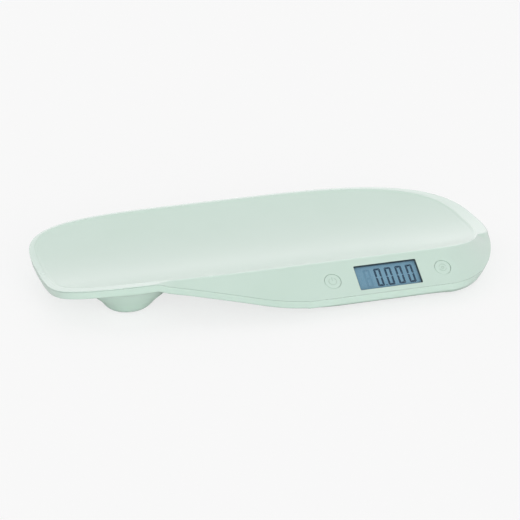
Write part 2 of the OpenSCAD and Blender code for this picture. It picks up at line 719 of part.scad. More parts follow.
// Each lead enters the back of the connector square on, from a point straight behind it
function connector_pt(n, away = 0) = let (
        x = connector_x + (n - 2) * lead_pitch, d = board_back + connector_t + away,
        s = connector_s)
    [x, edge_y - s * cos(apron_tilt) + d * sin(apron_tilt), edge_z - s * sin(apron_tilt) - d * cos(apron_tilt)];
lead_turn = 6;
function subdivided(route, step) = [for (i = [0:len(route) - 2])
    let (a = route[i], b = route[i + 1], n = max(1, ceil(norm(b - a) / step)))
    each [for (k = [0:n - 1]) mix(a, b, k / n)]];
module lead(k, n, way, c) {
    f = feet[k];
    start = [[f[0], f[1] + cell_side / 2 - 9, cell_top + lead_d / 2 + 1.2]];
    stops = concat([[f[0], f[1] + cell_side / 2 - 1]], way, [[lead_x + (n - 1) * lead_spread, box_y - 3]]);
    floor_run = [for (p = concat(subdivided(stops, lead_step), [stops[len(stops) - 1]])) floor_pt(p)];
    color(c) tube(concat(start, floor_run, [connector_pt(n, lead_turn), connector_pt(n)]), lead_d);
}
lead_spread = 3.6;
box_side_x = box_x + room_l / 2 + box_wall;
box_back_y = box_y + room_w / 2 + box_wall;
lead_x = box_side_x + 3 * lead_d;
way_rear_left = [[58 - foot_x, tray_y + 24], [0, tray_y - 10], [display_x - 20, box_back_y + 27],
    [lead_x + 2, box_back_y + 17]];
way_front_left = [[38 - foot_x, tray_y - 34], [-90, tray_y - 42], [-20, box_back_y + 23],
    [display_x - 40, box_back_y + 13], [box_side_x + 1, box_back_y + 7]];
way_rear_right = [[foot_x - 28, tray_y + 40], [lead_x + 17, tray_y], [lead_x + 9, box_back_y + 23]];
way_front_right = [[foot_x - 18, tray_y - 32], [lead_x + 27, box_back_y + 23]];
module cell_lead_front_left() {
    lead(0, 1, way_front_left, "red");
}
module cell_lead_rear_left() {
    lead(1, 2, way_rear_left, "black");
}
module cell_lead_front_right() {
    lead(2, 4, way_front_right, "blue");
}
module cell_lead_rear_right() {
    lead(3, 3, way_rear_right, "green");
}
module power_lead() {
    out_x = box_side_x + lead_d + 0.4;
    color("red") tube([
        [lead_hole_x, box_back_y - 1, lead_hole_z],
        [lead_hole_x, box_back_y + 2 * lead_d, lead_hole_z],
        [lead_hole_x + 3 * lead_d, box_back_y + 4 * lead_d, lead_hole_z],
        [out_x - 3 * lead_d, box_back_y + 4 * lead_d, lead_hole_z],
        [out_x, box_back_y, lead_hole_z - 2],
        [out_x, box_y, belly_height + 3 * lead_d],
        [out_x, 2 * box_y - box_back_y, belly_height + 3.5 * lead_d],
        connector_pt(0, lead_turn),
        connector_pt(0)], lead_d);
}

// Battery box contents and its door, which turns on two pins at its left edge
module battery_door() {
    lip = recess_w - 0.6;
    right_x = box_x + recess_l / 2 - 0.3;
    color(mint_dark) {
        difference() {
            translate([hinge_x, box_y - lip / 2, belly_height]) cube([right_x - hinge_x, lip, door_t]);
            for (k = [0:3]) translate([right_x - 5 - 2 * k, box_y - tab_w / 2 - k, belly_height - 1])
                cube([0.9, tab_w + 2 * k, 1 + grip_depth]);
        }
        translate([right_x - 1, box_y - tab_w / 2, belly_height]) cube([tab_l + 1, tab_w, tab_t]);
        translate([hinge_x, box_y - lip / 2, hinge_z]) rotate([-90, 0, 0]) cylinder(r = hinge_r, h = lip, $fn = 32);
        translate([hinge_x, box_y - recess_w / 2 - 1.3, hinge_z]) rotate([-90, 0, 0])
            cylinder(r = pin_r, h = recess_w + 2.6, $fn = 32);
        for (y = [-1, 1]) translate([hinge_x + 8, box_y + y * battery_pitch / 2 - 0.5, belly_height + door_t - 0.1])
            cube([room_l - 18, 1, 1.6]);
    }
}
function cell_turn(k) = k % 2 == 0 ? 1 : -1;
battery_mid = room_x0 + plate_t + (battery_l + nub) / 2 + 0.1;
module battery(k) {
    turn = cell_turn(k);
    mid = turn > 0 ? battery_mid : 2 * box_x - battery_mid;
    color("slategray") translate([mid, box_y + (k - 1) * battery_pitch, battery_z]) rotate([0, -90 * turn, 0])
        translate([0, 0, -(battery_l + nub) / 2]) {
            cylinder(d = battery_d, h = battery_l, $fn = 48);
            translate([0, 0, battery_l]) cylinder(d = 3.8, h = nub, $fn = 32);
        }
}
module battery_1() {
    battery(0);
}
module battery_2() {
    battery(1);
}
module battery_3() {
    battery(2);
}
spring_l = room_l - (battery_l + nub) - 2 * plate_t - 0.2;
module battery_springs() {
    color(steel) for (k = [0:2]) {
        turn = cell_turn(k);
        wall_x = box_x + turn * (room_l / 2);
        translate([wall_x, box_y + (k - 1) * battery_pitch, battery_z]) rotate([0, -90 * turn, 0])
            rotate_extrude($fn = 32) polygon([[2.2, 0], [3.8, 0], [3.8, plate_t], [2.6, spring_l + plate_t], [1.6, spring_l + plate_t]]);
    }
}
module battery_plates() {
    plate_w = battery_d - 1.4;
    color(steel) for (k = [0:2]) {
        turn = cell_turn(k);
        translate([box_x - turn * room_l / 2 + (turn > 0 ? 0 : -plate_t),
            box_y + (k - 1) * battery_pitch - plate_w / 2, battery_z - plate_w / 2]) cube([plate_t, plate_w, plate_w]);
    }
}
module shell_screws() {
    color(steel) for (p = stations) translate([p[0], p[1], seat_z(p)]) {
        translate([0, 0, -head_t]) cylinder(d = head_d, h = head_t, $fn = 32);
        translate([0, 0, -1]) cylinder(d = screw_d, h = 1 + grip_t + bite, $fn = 32);
    }
}

tray_shell();
base_shell();
display_lens();
display_gasket();
lcd_glass();
lcd_digits();
lcd_frame();
lcd_backlight();
zebra_strip_upper();
zebra_strip_lower();
main_board();
board_controller();
board_parts();
lead_connector();
board_screws();
left_button();
right_button();
left_switch();
right_switch();
left_switch_stem();
right_switch_stem();
load_cell_front_left();
load_cell_front_right();
load_cell_rear_left();
load_cell_rear_right();
foot_post_front_left();
foot_post_front_right();
foot_post_rear_left();
foot_post_rear_right();
foot_pad_front_left();
foot_pad_front_right();
foot_pad_rear_left();
foot_pad_rear_right();
strain_gauges();
cell_screws();
post_screws();
cell_lead_front_left();
cell_lead_front_right();
cell_lead_rear_left();
cell_lead_rear_right();
power_lead();
battery_door();
battery_1();
battery_2();
battery_3();
battery_springs();
battery_plates();
shell_screws();
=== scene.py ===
import bpy, bmesh, math
import numpy as np
from mathutils.geometry import delaunay_2d_cdt
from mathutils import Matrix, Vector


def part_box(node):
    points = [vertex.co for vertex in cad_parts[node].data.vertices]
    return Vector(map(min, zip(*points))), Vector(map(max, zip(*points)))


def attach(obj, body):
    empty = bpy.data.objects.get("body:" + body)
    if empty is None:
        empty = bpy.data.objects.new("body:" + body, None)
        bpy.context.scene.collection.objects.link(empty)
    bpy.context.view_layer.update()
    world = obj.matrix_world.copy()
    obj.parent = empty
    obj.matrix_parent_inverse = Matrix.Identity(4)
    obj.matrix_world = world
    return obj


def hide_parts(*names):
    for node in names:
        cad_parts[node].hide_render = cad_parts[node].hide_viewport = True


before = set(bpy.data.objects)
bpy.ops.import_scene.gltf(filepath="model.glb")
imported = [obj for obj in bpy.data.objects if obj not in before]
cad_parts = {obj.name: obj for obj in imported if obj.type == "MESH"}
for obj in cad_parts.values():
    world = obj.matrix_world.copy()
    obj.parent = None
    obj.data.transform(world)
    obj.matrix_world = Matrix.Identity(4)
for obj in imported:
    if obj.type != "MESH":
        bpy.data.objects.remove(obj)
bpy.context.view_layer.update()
print("stage: frame loaded")

# Camera and light first: the photograph's view
photoView = {"azimuth": -18.248, "elevation": 21.7475, "distance": 2.5, "lens": 146.22, "shiftX": -0.01246,
             "shiftY": -0.0268, "aim": (0, 0.02, 0.03)}
studio = {"backdrop": 0.925, "skyLight": 0.47, "floor": 0.93, "floorShare": 0.72, "floorGlow": 1.02,
          "floorReach": 8}
softLights = {
    "backLight": {"power": 0.68, "spread": 90, "height": 40, "side": 0},
    "frontLight": {"power": 2.3, "spread": 60, "height": 8, "side": 180},
    "leftLight": {"power": 0.3, "spread": 60, "height": 20, "side": 90},
    "rightLight": {"power": 0.04, "spread": 60, "height": 20, "side": -90}}

scene = bpy.context.scene
cameraData = bpy.data.cameras.new("photoCamera")
camera = bpy.data.objects.new("photoCamera", cameraData)
scene.collection.objects.link(camera)
turn, lift = math.radians(photoView["azimuth"]), math.radians(photoView["elevation"])
aim = photoView["aim"]
reach = photoView["distance"]
camera.location = (aim[0] + reach * math.sin(turn) * math.cos(lift),
                   aim[1] - reach * math.cos(turn) * math.cos(lift), aim[2] + reach * math.sin(lift))
camera.rotation_euler = (math.pi / 2 - lift, 0, turn)
cameraData.lens, cameraData.sensor_width = photoView["lens"], 36
cameraData.shift_x, cameraData.shift_y = photoView["shiftX"], photoView["shiftY"]
cameraData.clip_end = 50
scene.camera = camera
scene.view_settings.view_transform = "Standard"

world = bpy.data.worlds.new("studioWorld")
scene.world = world
world.use_nodes = True
nodes, links = world.node_tree.nodes, world.node_tree.links
background = nodes["Background"]
path = nodes.new("ShaderNodeLightPath")
seen = path.outputs["Is Camera Ray"]
for ray in ("Is Glossy Ray", "Is Transmission Ray"):
    either = nodes.new("ShaderNodeMath")
    either.operation = "MAXIMUM"
    links.new(seen, either.inputs[0])
    links.new(path.outputs[ray], either.inputs[1])
    seen = either.outputs[0]
level = nodes.new("ShaderNodeMix")
level.inputs["A"].default_value, level.inputs["B"].default_value = studio["skyLight"], studio["backdrop"]
links.new(seen, level.inputs["Factor"])
links.new(level.outputs["Result"], background.inputs["Strength"])
background.inputs["Color"].default_value = (1, 1, 1, 1)

for name, values in softLights.items():
    sunData = bpy.data.lights.new(name, "SUN")
    sunData.energy, sunData.angle = values["power"], math.radians(values["spread"])
    sun = bpy.data.objects.new(name, sunData)
    sun.visible_glossy = name == "backLight"  # the others only fill, so no lamp glares in the gloss
    sun.rotation_euler = (math.radians(values["height"] - 90), 0, math.radians(values["side"]))
    scene.collection.objects.link(sun)

mm = 0.001

# Tray and console in millimetres, as the frame has them
tray = {
    "halfLength": 275, "halfWidth": 118, "middleY": 20, "rimHeight": 50, "troughDepth": 17.4, "floorZ": 32,
    "leftDip": 1, "rightDip": 2.5, "creaseWidth": 111.5, "rimRight": 21, "rimLeft": 7, "rimFront": 2.5,
    "stripWidth": 14, "wall": 2.4, "skirt": 1.5, "sideDrop": 2.5, "sideDropRun": 100, "seam": 0.03,
    "thickness": 10.5, "footX": 188, "footSide": 58,
    # how finely the mesh follows the outline, and how far each soft edge reaches
    "endSteps": 40, "sideSteps": 56, "rungParts": 56, "innerRungs": 16, "faceParts": 12,
    "creaseRound": 1.2, "edgeRound": 1.3, "consoleRound": 0.8, "turnedRound": 0.6, "lipRound": 0.18,
    "creaseMargin": 3.5, "flatRun": 0.8, "rimDrop": 0.45, "creaseLift": 0.5, "flatNear": 13.5, "flatFar": 26,
}
console = {
    "depth": 40, "tilt": 35, "startX": -148, "run": 165, "ease": 0.05, "tipX": -168, "tipRun": 14,
    "stripStart": -190, "stripRun": 130, "displayX": 100, "line": 26, "windowWidth": 75.6,
    "windowHeight": 32.6, "windowCorner": 1.2, "windowRound": 0.5, "buttonOffset": 67, "buttonBore": 9.8,
    "boreRound": 0.45,
    # degrees of the right end in which the rim turns in to the console, and where that end turns round
    "noseFrom": 21, "noseTurn": 24, "cornerReach": 105, "turnFrom": 150, "turnRun": 80, "turnFade": 45,
}
# Powers of the outline's round corners; a front corner has its reach, then a power along and one across
bends = {"rimRight": 3.25, "rimLeft": 4.8, "creaseRight": 3.3, "creaseLeft": 5.2,
         "rimFront": (140, 1.72, 1.72), "creaseFront": (84, 1.73, 2.1), "partingFront": (101, 1.77, 1.585)}
band = {"height": 9.5, "lean": 2, "consoleLean": 0.3, "turnLean": 2.6, "turnDrop": 1.3, "wallFall": 1.6,
        "seatRound": 0.5, "underEdge": 7, "consoleUnderEdge": 20, "turnUnderEdge": 10}
belly = {"height": 4, "bandClear": 0.5, "start": 88, "run": 100, "front": 8, "line": 45, "frontStart": 48,
         "frontRun": 120, "back": 10}
edgeY = tray["middleY"] - tray["halfWidth"]


def smooth(t):
    t = np.clip(t, 0, 1)
    return t * t * (3 - 2 * t)


def mix(a, b, t):
    return a + (b - a) * t


def troughZ(y):
    return tray["floorZ"] + tray["troughDepth"] * ((y - tray["middleY"]) / tray["creaseWidth"]) ** 2


edgeZ = troughZ(edgeY + tray["rimFront"]) + 0.1
tiltSin, tiltCos = math.sin(math.radians(console["tilt"])), math.cos(math.radians(console["tilt"]))
lowZ = edgeZ - console["depth"] * tiltSin / tiltCos


def consoleShare(x):
    u = np.clip((x - console["startX"]) / console["run"], 0, 1)
    e = console["ease"]
    return np.sin(np.pi / 2 * np.minimum(1, (1 + e) * u * u / (u + e)))


def frontCrease(x):
    h = tray["halfWidth"]
    return mix(h - tray["stripWidth"], h - tray["rimFront"],
               smooth((x - console["stripStart"]) / console["stripRun"]))


def frontLowZ(x):
    crease = frontCrease(x)
    low = tray["halfWidth"] + console["depth"] * consoleShare(x)
    slope = troughZ(tray["middleY"] - crease) + 0.1 - tiltSin / tiltCos * (low - crease - tray["rimFront"])
    start = tray["rimHeight"] - tray["skirt"]
    return mix(start, slope, smooth((x - console["tipX"]) / (2 * console["tipRun"])))


# Outlines: rings of points counted from the right end round the back
quarterN = tray["endSteps"] + tray["sideSteps"]
ringN = 4 * quarterN
ringIndex = np.arange(ringN)
isFront = (ringIndex > 2 * quarterN).astype(float)
isFrontRight = (ringIndex >= 3 * quarterN).astype(float)


def quarterPoints(q):
    halfX, halfY, cornerX, cornerY, powerX, powerY = q
    splitX = halfX - cornerX + cornerX * 2 ** (-1 / powerX)
    splitY = halfY - cornerY + cornerY * 2 ** (-1 / powerY)
    k = np.arange(quarterN + 1)
    y = splitY * np.sin(np.pi / 2 * np.minimum(k, tray["endSteps"]) / tray["endSteps"])
    t = np.maximum(0, (y - (halfY - cornerY)) / cornerY)
    endX = halfX - cornerX + cornerX * np.maximum(0, 1 - t ** powerY) ** (1 / powerX)
    share = np.maximum(0, k - tray["endSteps"]) / tray["sideSteps"]
    x = splitX * (1 - share ** 1.25)
    t = np.maximum(0, (x - (halfX - cornerX)) / cornerX)
    sideY = halfY - cornerY + cornerY * np.maximum(0, 1 - t ** powerX) ** (1 / powerY)
    onEnd = k <= tray["endSteps"]
    return np.column_stack([np.where(onEnd, endX, x), np.where(onEnd, y, sideY)])


def outline(rearRight, rearLeft, frontLeft, frontRight):
    a, b, c, d = [quarterPoints(q) for q in (rearRight, rearLeft, frontLeft, frontRight)]
    ring = np.vstack([a[:-1], b[:0:-1] * [-1, 1], c[:-1] * [-1, -1], d[:0:-1] * [1, -1]])
    return ring + [0, tray["middleY"]]


def inset(ring, by):
    d = np.roll(ring, -1, 0) - np.roll(ring, 1, 0)
    out = np.column_stack([d[:, 1], -d[:, 0]]) / np.linalg.norm(d, axis=1)[:, None]
    return ring - np.broadcast_to(by, len(ring))[:, None] * out


def stretched(ring, baseWidth, width):
    ring = ring.copy()
    pick = (ringIndex > 2 * quarterN) & (ringIndex < 3 * quarterN)
    ring[pick, 1] = tray["middleY"] - (tray["middleY"] - ring[pick, 1]) * width[pick] / baseWidth
    return ring


def stacked(ring, z):
    return np.column_stack([ring, np.broadcast_to(z, len(ring))])


def evenCorner(halfX, halfY, power):
    return [halfX, halfY, halfX, halfY, power, power]


def frontCorner(halfX, halfY, bend):
    return [halfX, halfY, bend[0], halfY, bend[1], bend[2]]


halfL, halfW, fullW = tray["halfLength"], tray["halfWidth"], tray["halfWidth"] + console["depth"]
creaseR, creaseL = halfL - tray["rimRight"], halfL - tray["rimLeft"]
creaseW, creaseF = tray["creaseWidth"], halfW - tray["rimFront"]
creaseRaw = outline(evenCorner(creaseR, creaseW, bends["creaseRight"]),
                    evenCorner(creaseL, creaseW, bends["creaseLeft"]),
                    evenCorner(creaseL, creaseF, bends["creaseLeft"]),
                    frontCorner(creaseR, creaseF, bends["creaseFront"]))
creaseRing = stretched(creaseRaw, creaseF, frontCrease(creaseRaw[:, 0]))
rightCorner = evenCorner(halfL, halfW, bends["rimRight"])
leftCorner = evenCorner(halfL, halfW, bends["rimLeft"])
rimOuter = outline(rightCorner, leftCorner, leftCorner, frontCorner(halfL, fullW, bends["rimFront"]))
# How far the rim has turned in to the console's edge, from 0 to 1
endDegrees = 90 * (ringN - ringIndex) / tray["endSteps"]
turned = np.where(isFrontRight > 0, smooth((endDegrees - console["noseFrom"]) / console["noseTurn"]),
                  isFront * smooth((rimOuter[:, 0] - console["tipX"]) / console["tipRun"]))
rimRing = mix(rimOuter, inset(creaseRing, -tray["rimFront"]), turned[:, None])


def rimHeightAt(ring):
    side = np.minimum(1, ((ring[:, 1] - tray["middleY"]) / halfW) ** 2)
    dip = np.where(ring[:, 0] < 0, tray["leftDip"], tray["rightDip"])
    return mix(tray["floorZ"] - dip, tray["rimHeight"], side)


outerZs = rimHeightAt(rimOuter)
rimZs = mix(outerZs, troughZ(creaseRing[:, 1]) + 0.1, turned)
partingRaw = outline(rightCorner, leftCorner, leftCorner, frontCorner(halfL, fullW, bends["partingFront"]))
partingShare = np.where(isFrontRight > 0, 1, isFront * consoleShare(partingRaw[:, 0]))
partingRing = stretched(partingRaw, halfW, halfW + console["depth"] * partingShare)
behind = partingRing[:, 1] - tray["middleY"]
cornerShare = smooth(-behind / console["cornerReach"])
skirt, sideDrop = tray["skirt"], tray["sideDrop"]
partingZs = np.where(
    isFrontRight > 0, mix(outerZs - (skirt + sideDrop), lowZ, cornerShare),
    np.where(isFront > 0, np.minimum(outerZs - skirt, frontLowZ(partingRing[:, 0])),
             np.where(partingRing[:, 0] > 0,
                      rimZs - skirt - sideDrop * smooth(1 - behind / tray["sideDropRun"]), rimZs - skirt)))
cornerTurn = isFrontRight * smooth((partingRing[:, 0] - console["turnFrom"]) / console["turnRun"])
cornerTurn = cornerTurn * smooth(-behind / console["turnFade"])
bandLean = band["lean"] + band["consoleLean"] * partingShare + band["turnLean"] * cornerTurn
bandRing = inset(partingRing, bandLean)
bandZs = mix(partingZs - band["height"], lowZ - band["height"] - band["turnDrop"] * cornerTurn,
             isFrontRight * cornerShare)
consoleUnder = partingShare * (band["consoleUnderEdge"] - band["turnUnderEdge"] * cornerTurn)
bellyRing = inset(partingRing, np.maximum(band["underEdge"], consoleUnder))

# Foot housings: a bowl under each foot, a flare up to the belly, and the rings that shape their mesh
cup = {
    "low": 1.8, "bowlStart": 13.4, "bowlReach": 16, "bowlRise": 9.2, "bowlPower": 2.6, "blend": 1.1,
    "blendReach": 46, "flareFrom": 20, "flareRun": 36, "flareLow": 9, "leanFrom": 14, "leanRun": 8,
    "leanIn": 0.11, "leanAway": 0.08, "mouthR": 14.2, "outerR": 27.44, "steps": 96, "clear": 47,
    "inside": ((13.92, 1.92), (13.8, 2.2), (13.8, 4.2), (16.8, 4.2), (19.5, 5.8), (22, 8.8), (25.24, 13.2),
               (25.24, 20), (27.44, 20)),
    "rings": (14.9, 15.8, 16.8, 17.8, 18.8, 19.8, 20.7, 21.6, 22.4, 23.2, 24, 24.7, 25.4, 26.1, 26.9, 27.8,
              28.8, 30, 31.5, 33.5, 36, 39, 42, 45),
    "columnAt": 13.6, "column": ((0, 4.6), (2.8, 4.6), (2.8, 15), (1.05, 15), (1.05, 10.6), (0, 10.6)),
}
feet = [(sx * tray["footX"], tray["middleY"] + sy * tray["footSide"]) for sx in (-1, 1) for sy in (-1, 1)]
footNames = ["front_left", "rear_left", "front_right", "rear_right"]


def trayUnderZ(x, y):
    startX = console["startX"]
    low = mix(frontLowZ(x) - band["height"] - belly["bandClear"], belly["height"],
              smooth((x - startX - belly["start"]) / belly["run"]))
    full = mix(edgeY + belly["front"], tray["middleY"] - belly["line"],
               smooth((x - startX - belly["frontStart"]) / belly["frontRun"]))
    back = tray["middleY"] + belly["back"]
    z = troughZ(y) - tray["thickness"]
    return z - np.maximum(0, z - low) * smooth((back - y) / (back - full))


def footReach(x, y, fx, fy):
    # Distance from a foot's middle; the left feet spread a little towards the middle of the scale
    r = np.hypot(x - fx, y - fy)
    lean = np.where(fx < 0, (x - fx) / np.maximum(r, 1) * smooth((r - cup["leanFrom"]) / cup["leanRun"]), 0)
    return r / (1 + np.where(lean > 0, cup["leanIn"], cup["leanAway"]) * lean)


def underZ(x, y):
    flare = np.max([smooth(1 - (footReach(x, y, fx, fy) - cup["flareFrom"]) / cup["flareRun"])
                    for fx, fy in feet], axis=0)
    z = trayUnderZ(x, y)
    return z - np.maximum(0, z - cup["flareLow"]) * flare


def undersideZ(x, y):
    # The underside with the bowls of the feet blended into it
    z = underZ(x, y)
    soft = cup["blend"]
    for fx, fy in feet:
        r = footReach(x, y, fx, fy)
        share = np.maximum(0, (r - cup["bowlStart"]) / cup["bowlReach"])
        bowl = cup["low"] + cup["bowlRise"] * share ** cup["bowlPower"]
        low = np.minimum(z, bowl)
        blended = low - soft * np.log(np.exp((low - z) / soft) + np.exp((low - bowl) / soft))
        z = np.where(r < cup["blendReach"], np.maximum(blended, cup["low"]), z)
    return z


# Mesh helpers: loops of points in millimetres become one closed mesh object in metres
class Shape:
    def __init__(self):
        self.points, self.faces, self.finishOf = [], [], []

    def add(self, points, faces, finish=0):
        start = len(self.points)
        self.points.extend(np.asarray(points, float).tolist())
        self.faces.extend([[start + int(k) for k in f] for f in faces])
        self.finishOf.extend([finish] * len(faces))

    def loft(self, loops, closed=True, startCap=False, endCap=False, joined=False, finish=0):
        count = len(loops[0])
        points = np.vstack(loops)
        faces = []
        rows = len(loops) if joined else len(loops) - 1
        for r in range(rows):
            a, b = r * count, (r + 1) % len(loops) * count
            for i in range(count if closed else count - 1):
                k = (i + 1) % count
                faces.append([a + i, a + k, b + k, b + i])
        if startCap:
            faces.append(list(range(count))[::-1])
        if endCap:
            faces.append([(len(loops) - 1) * count + i for i in range(count)])
        self.add(points, faces, finish)

    def turnedOn(self, profile, steps=48, at=(0, 0, 0), place=None):
        angles = np.arange(steps) * 2 * np.pi / steps
        loops = []
        for r, z in profile:
            loop = np.column_stack([at[0] + r * np.cos(angles), at[1] + r * np.sin(angles),
                                    np.full(steps, at[2] + z)])
            loops.append(loop if place is None else place(loop))
        self.loft(loops)

    def piece(self, name, material, angle=30, weighted=False, recalc=True):
        mesh = bpy.data.meshes.new(name)
        mesh.from_pydata((np.asarray(self.points) * mm).tolist(), [], self.faces)
        mesh.polygons.foreach_set("material_index", self.finishOf)
        bm = bmesh.new()
        bm.from_mesh(mesh)
        bmesh.ops.remove_doubles(bm, verts=bm.verts, dist=2e-6)
        bmesh.ops.dissolve_degenerate(bm, edges=bm.edges, dist=1e-7)
        if recalc:
            bmesh.ops.recalc_face_normals(bm, faces=bm.faces)
        bm.to_mesh(mesh)
        bm.free()
        result = bpy.data.objects.new(name, mesh)
        scene.collection.objects.link(result)
        for one in material if isinstance(material, list) else [material]:
            mesh.materials.append(one)
        finishShading(result, angle, weighted)
        return result


def finishShading(piece, angle=30, weighted=False):
    piece.data.shade_smooth()
    piece.data.set_sharp_from_angle(angle=math.radians(angle))
    if weighted:
        modifier = piece.modifiers.new("evenShading", "WEIGHTED_NORMAL")
        modifier.keep_sharp = True
        modifier.weight = 80


def rounded(a, corner, b, atA, atB, steps):
    # Points of a soft corner between two straight runs, with its reach on each side
    toA, toB = a - corner, b - corner
    lengthA, lengthB = np.linalg.norm(toA, axis=1), np.linalg.norm(toB, axis=1)
    reachA, reachB = np.minimum(atA, 0.42 * lengthA), np.minimum(atB, 0.42 * lengthB)
    start = corner + toA * (reachA / lengthA)[:, None]
    end = corner + toB * (reachB / lengthB)[:, None]
    shares = np.linspace(0, 1, steps + 1)
    return [start * (1 - t) ** 2 + corner * 2 * t * (1 - t) + end * t * t for t in shares]


def held(a, b, by):
    # Two loops near the ends of a straight run, which keep its shading flat
    length = np.linalg.norm(b - a, axis=1)
    share = np.minimum(by / length, 0.3)[:, None]
    return [mix(a, b, share), mix(b, a, share)]


def ladder(shape, ring, parts, height):
    half = ringN // 2
    front = ring[(ringN - np.arange(half + 1)) % ringN]
    rows = []
    for f in range(parts + 1):
        row = mix(ring[:half + 1], front, f / parts)
        if 0 < f < parts:
            row = np.column_stack([row[:, :2], height(row[:, 0], row[:, 1])])
            row[0], row[-1] = ring[0], ring[half]
        rows.append(row)
    shape.loft(rows, closed=False)


def circle(x, y, r, steps, z):
    angles = np.arange(steps) * 2 * np.pi / steps
    px, py = x + r * np.cos(angles), y + r * np.sin(angles)
    return np.column_stack([px, py, z(px, py) if callable(z) else np.full(steps, z)])


def roundedBox(x, y, w, h, r, z, cornerSteps=5, sideSteps=6):
    # Loop of a rounded rectangle, counted from the middle of its right side
    loop = []
    for sx, sy, start in ((1, 1, 0), (-1, 1, 90), (-1, -1, 180), (1, -1, 270)):
        cx, cy = x + sx * (w / 2 - r), y + sy * (h / 2 - r)
        for k in range(cornerSteps + 1):
            a = math.radians(start + 90 * k / cornerSteps)
            loop.append([cx + r * math.cos(a), cy + r * math.sin(a)])
    loop = np.array(loop)
    full = []
    for i in range(len(loop)):
        a, b = loop[i], loop[(i + 1) % len(loop)]
        full.append(a)
        if (i + 1) % (cornerSteps + 1) == 0:
            full.extend([mix(a, b, k / sideSteps) for k in range(1, sideSteps)])
    full = np.array(full)
    zs = z(full[:, 0], full[:, 1]) if callable(z) else np.full(len(full), z)
    return np.column_stack([full, zs])


# Places points on the console: x and up-slope y from the middle of the window, z out of the face
def onConsole(points, x=None):
    points = np.asarray(points, float)
    s, d = console["line"] - points[:, 1], -points[:, 2]
    return np.column_stack([points[:, 0] + (console["displayX"] if x is None else x),
                            edgeY - s * tiltCos + d * tiltSin, edgeZ - s * tiltSin - d * tiltCos])


def flattened(points):
    # Keeps the console face plane round the right button, where the nose begins to turn away
    dy, dz = points[:, 1] - edgeY, points[:, 2] - edgeZ
    down, out = -dy * tiltCos - dz * tiltSin, dz * tiltCos - dy * tiltSin
    far = np.hypot(points[:, 0] - console["displayX"] - console["buttonOffset"], console["line"] - down)
    share = smooth((tray["flatFar"] - far) / (tray["flatFar"] - tray["flatNear"])) * (np.abs(out) < 12)
    return points + (out * share)[:, None] * np.array([0, tiltSin, -tiltCos])


def cutWith(piece, *cutters, crossing=False):
    for cutter in cutters:
        modifier = piece.modifiers.new("cut", "BOOLEAN")
        modifier.operation, modifier.solver, modifier.object = "DIFFERENCE", "EXACT", cutter
        modifier.use_self = crossing
        graph = bpy.context.evaluated_depsgraph_get()
        mesh = bpy.data.meshes.new_from_object(piece.evaluated_get(graph))
        piece.modifiers.clear()
        old = piece.data
        piece.data = mesh
        bpy.data.meshes.remove(old)
        bpy.data.objects.remove(cutter)


# Materials
def colour(r, g, b):
    return tuple(((c / 255 + 0.055) / 1.055) ** 2.4 if c > 10 else c / 255 / 12.92 for c in (r, g, b)) + (1,)


def groupOf(name, inputs, outputs):
    tree = bpy.data.node_groups.new(name, "ShaderNodeTree")
    for label, kind, value in inputs:
        socket = tree.interface.new_socket(label, in_out="INPUT", socket_type=kind)
        socket.default_value = value
    for label, kind in outputs:
        tree.interface.new_socket(label, in_out="OUTPUT", socket_type=kind)
    return tree, tree.nodes.new("NodeGroupInput"), tree.nodes.new("NodeGroupOutput")


def noiseIn(tree, source, scale, detail=3.0, rough=0.55):
    noise = tree.nodes.new("ShaderNodeTexNoise")
    noise.inputs["Detail"].default_value, noise.inputs["Roughness"].default_value = detail, rough
    tree.links.new(source, noise.inputs["Vector"])
    if isinstance(scale, (int, float)):
        noise.inputs["Scale"].default_value = scale
    else:
        tree.links.new(scale, noise.inputs["Scale"])
    return noise.outputs["Fac"]


def rangeIn(tree, value, low, high, fromLow=0.3, fromHigh=0.7):
    node = tree.nodes.new("ShaderNodeMapRange")
    node.inputs["From Min"].default_value, node.inputs["From Max"].default_value = fromLow, fromHigh
    tree.links.new(value, node.inputs["Value"])
    for label, v in (("To Min", low), ("To Max", high)):
        if isinstance(v, (int, float)):
            node.inputs[label].default_value = v
        else:
            tree.links.new(v, node.inputs[label])
    return node.outputs["Result"]


def colourMix(tree, factor, a, b, mode="MIX"):
    node = tree.nodes.new("ShaderNodeMix")
    node.data_type, node.blend_type = "RGBA", mode
    for label, v in (("Factor", factor), ("A", a), ("B", b)):
        socket = [s for s in node.inputs if s.name == label and s.enabled][0]
        if isinstance(v, bpy.types.NodeSocket):
            tree.links.new(v, socket)
        else:
            socket.default_value = v
    return [s for s in node.outputs if s.enabled][0]


# Fine grain with slow drift in colour and gloss, shared by every moulded finish
grainTree, grainIn, grainOut = groupOf("mouldGrain", [
    ("Vector", "NodeSocketVector", (0, 0, 0)), ("Light", "NodeSocketColor", (1, 1, 1, 1)),
    ("Dark", "NodeSocketColor", (0, 0, 0, 1)), ("Grain Scale", "NodeSocketFloat", 1500.0),
    ("Drift Scale", "NodeSocketFloat", 14.0), ("Rough Low", "NodeSocketFloat", 0.3),
    ("Rough High", "NodeSocketFloat", 0.4)],
    [("Color", "NodeSocketColor"), ("Roughness", "NodeSocketFloat"), ("Height", "NodeSocketFloat")])
driftNoise = noiseIn(grainTree, grainIn.outputs["Vector"], grainIn.outputs["Drift Scale"], 2.0)
fineNoise = noiseIn(grainTree, grainIn.outputs["Vector"], grainIn.outputs["Grain Scale"], 2.0, 0.6)
driftMask = rangeIn(grainTree, driftNoise, 0.0, 1.0)
grainTree.links.new(colourMix(grainTree, driftMask, grainIn.outputs["Dark"], grainIn.outputs["Light"]),
                    grainOut.inputs["Color"])
grainTree.links.new(
    rangeIn(grainTree, driftNoise, grainIn.outputs["Rough Low"], grainIn.outputs["Rough High"]),
    grainOut.inputs["Roughness"])
grainTree.links.new(fineNoise, grainOut.inputs["Height"])

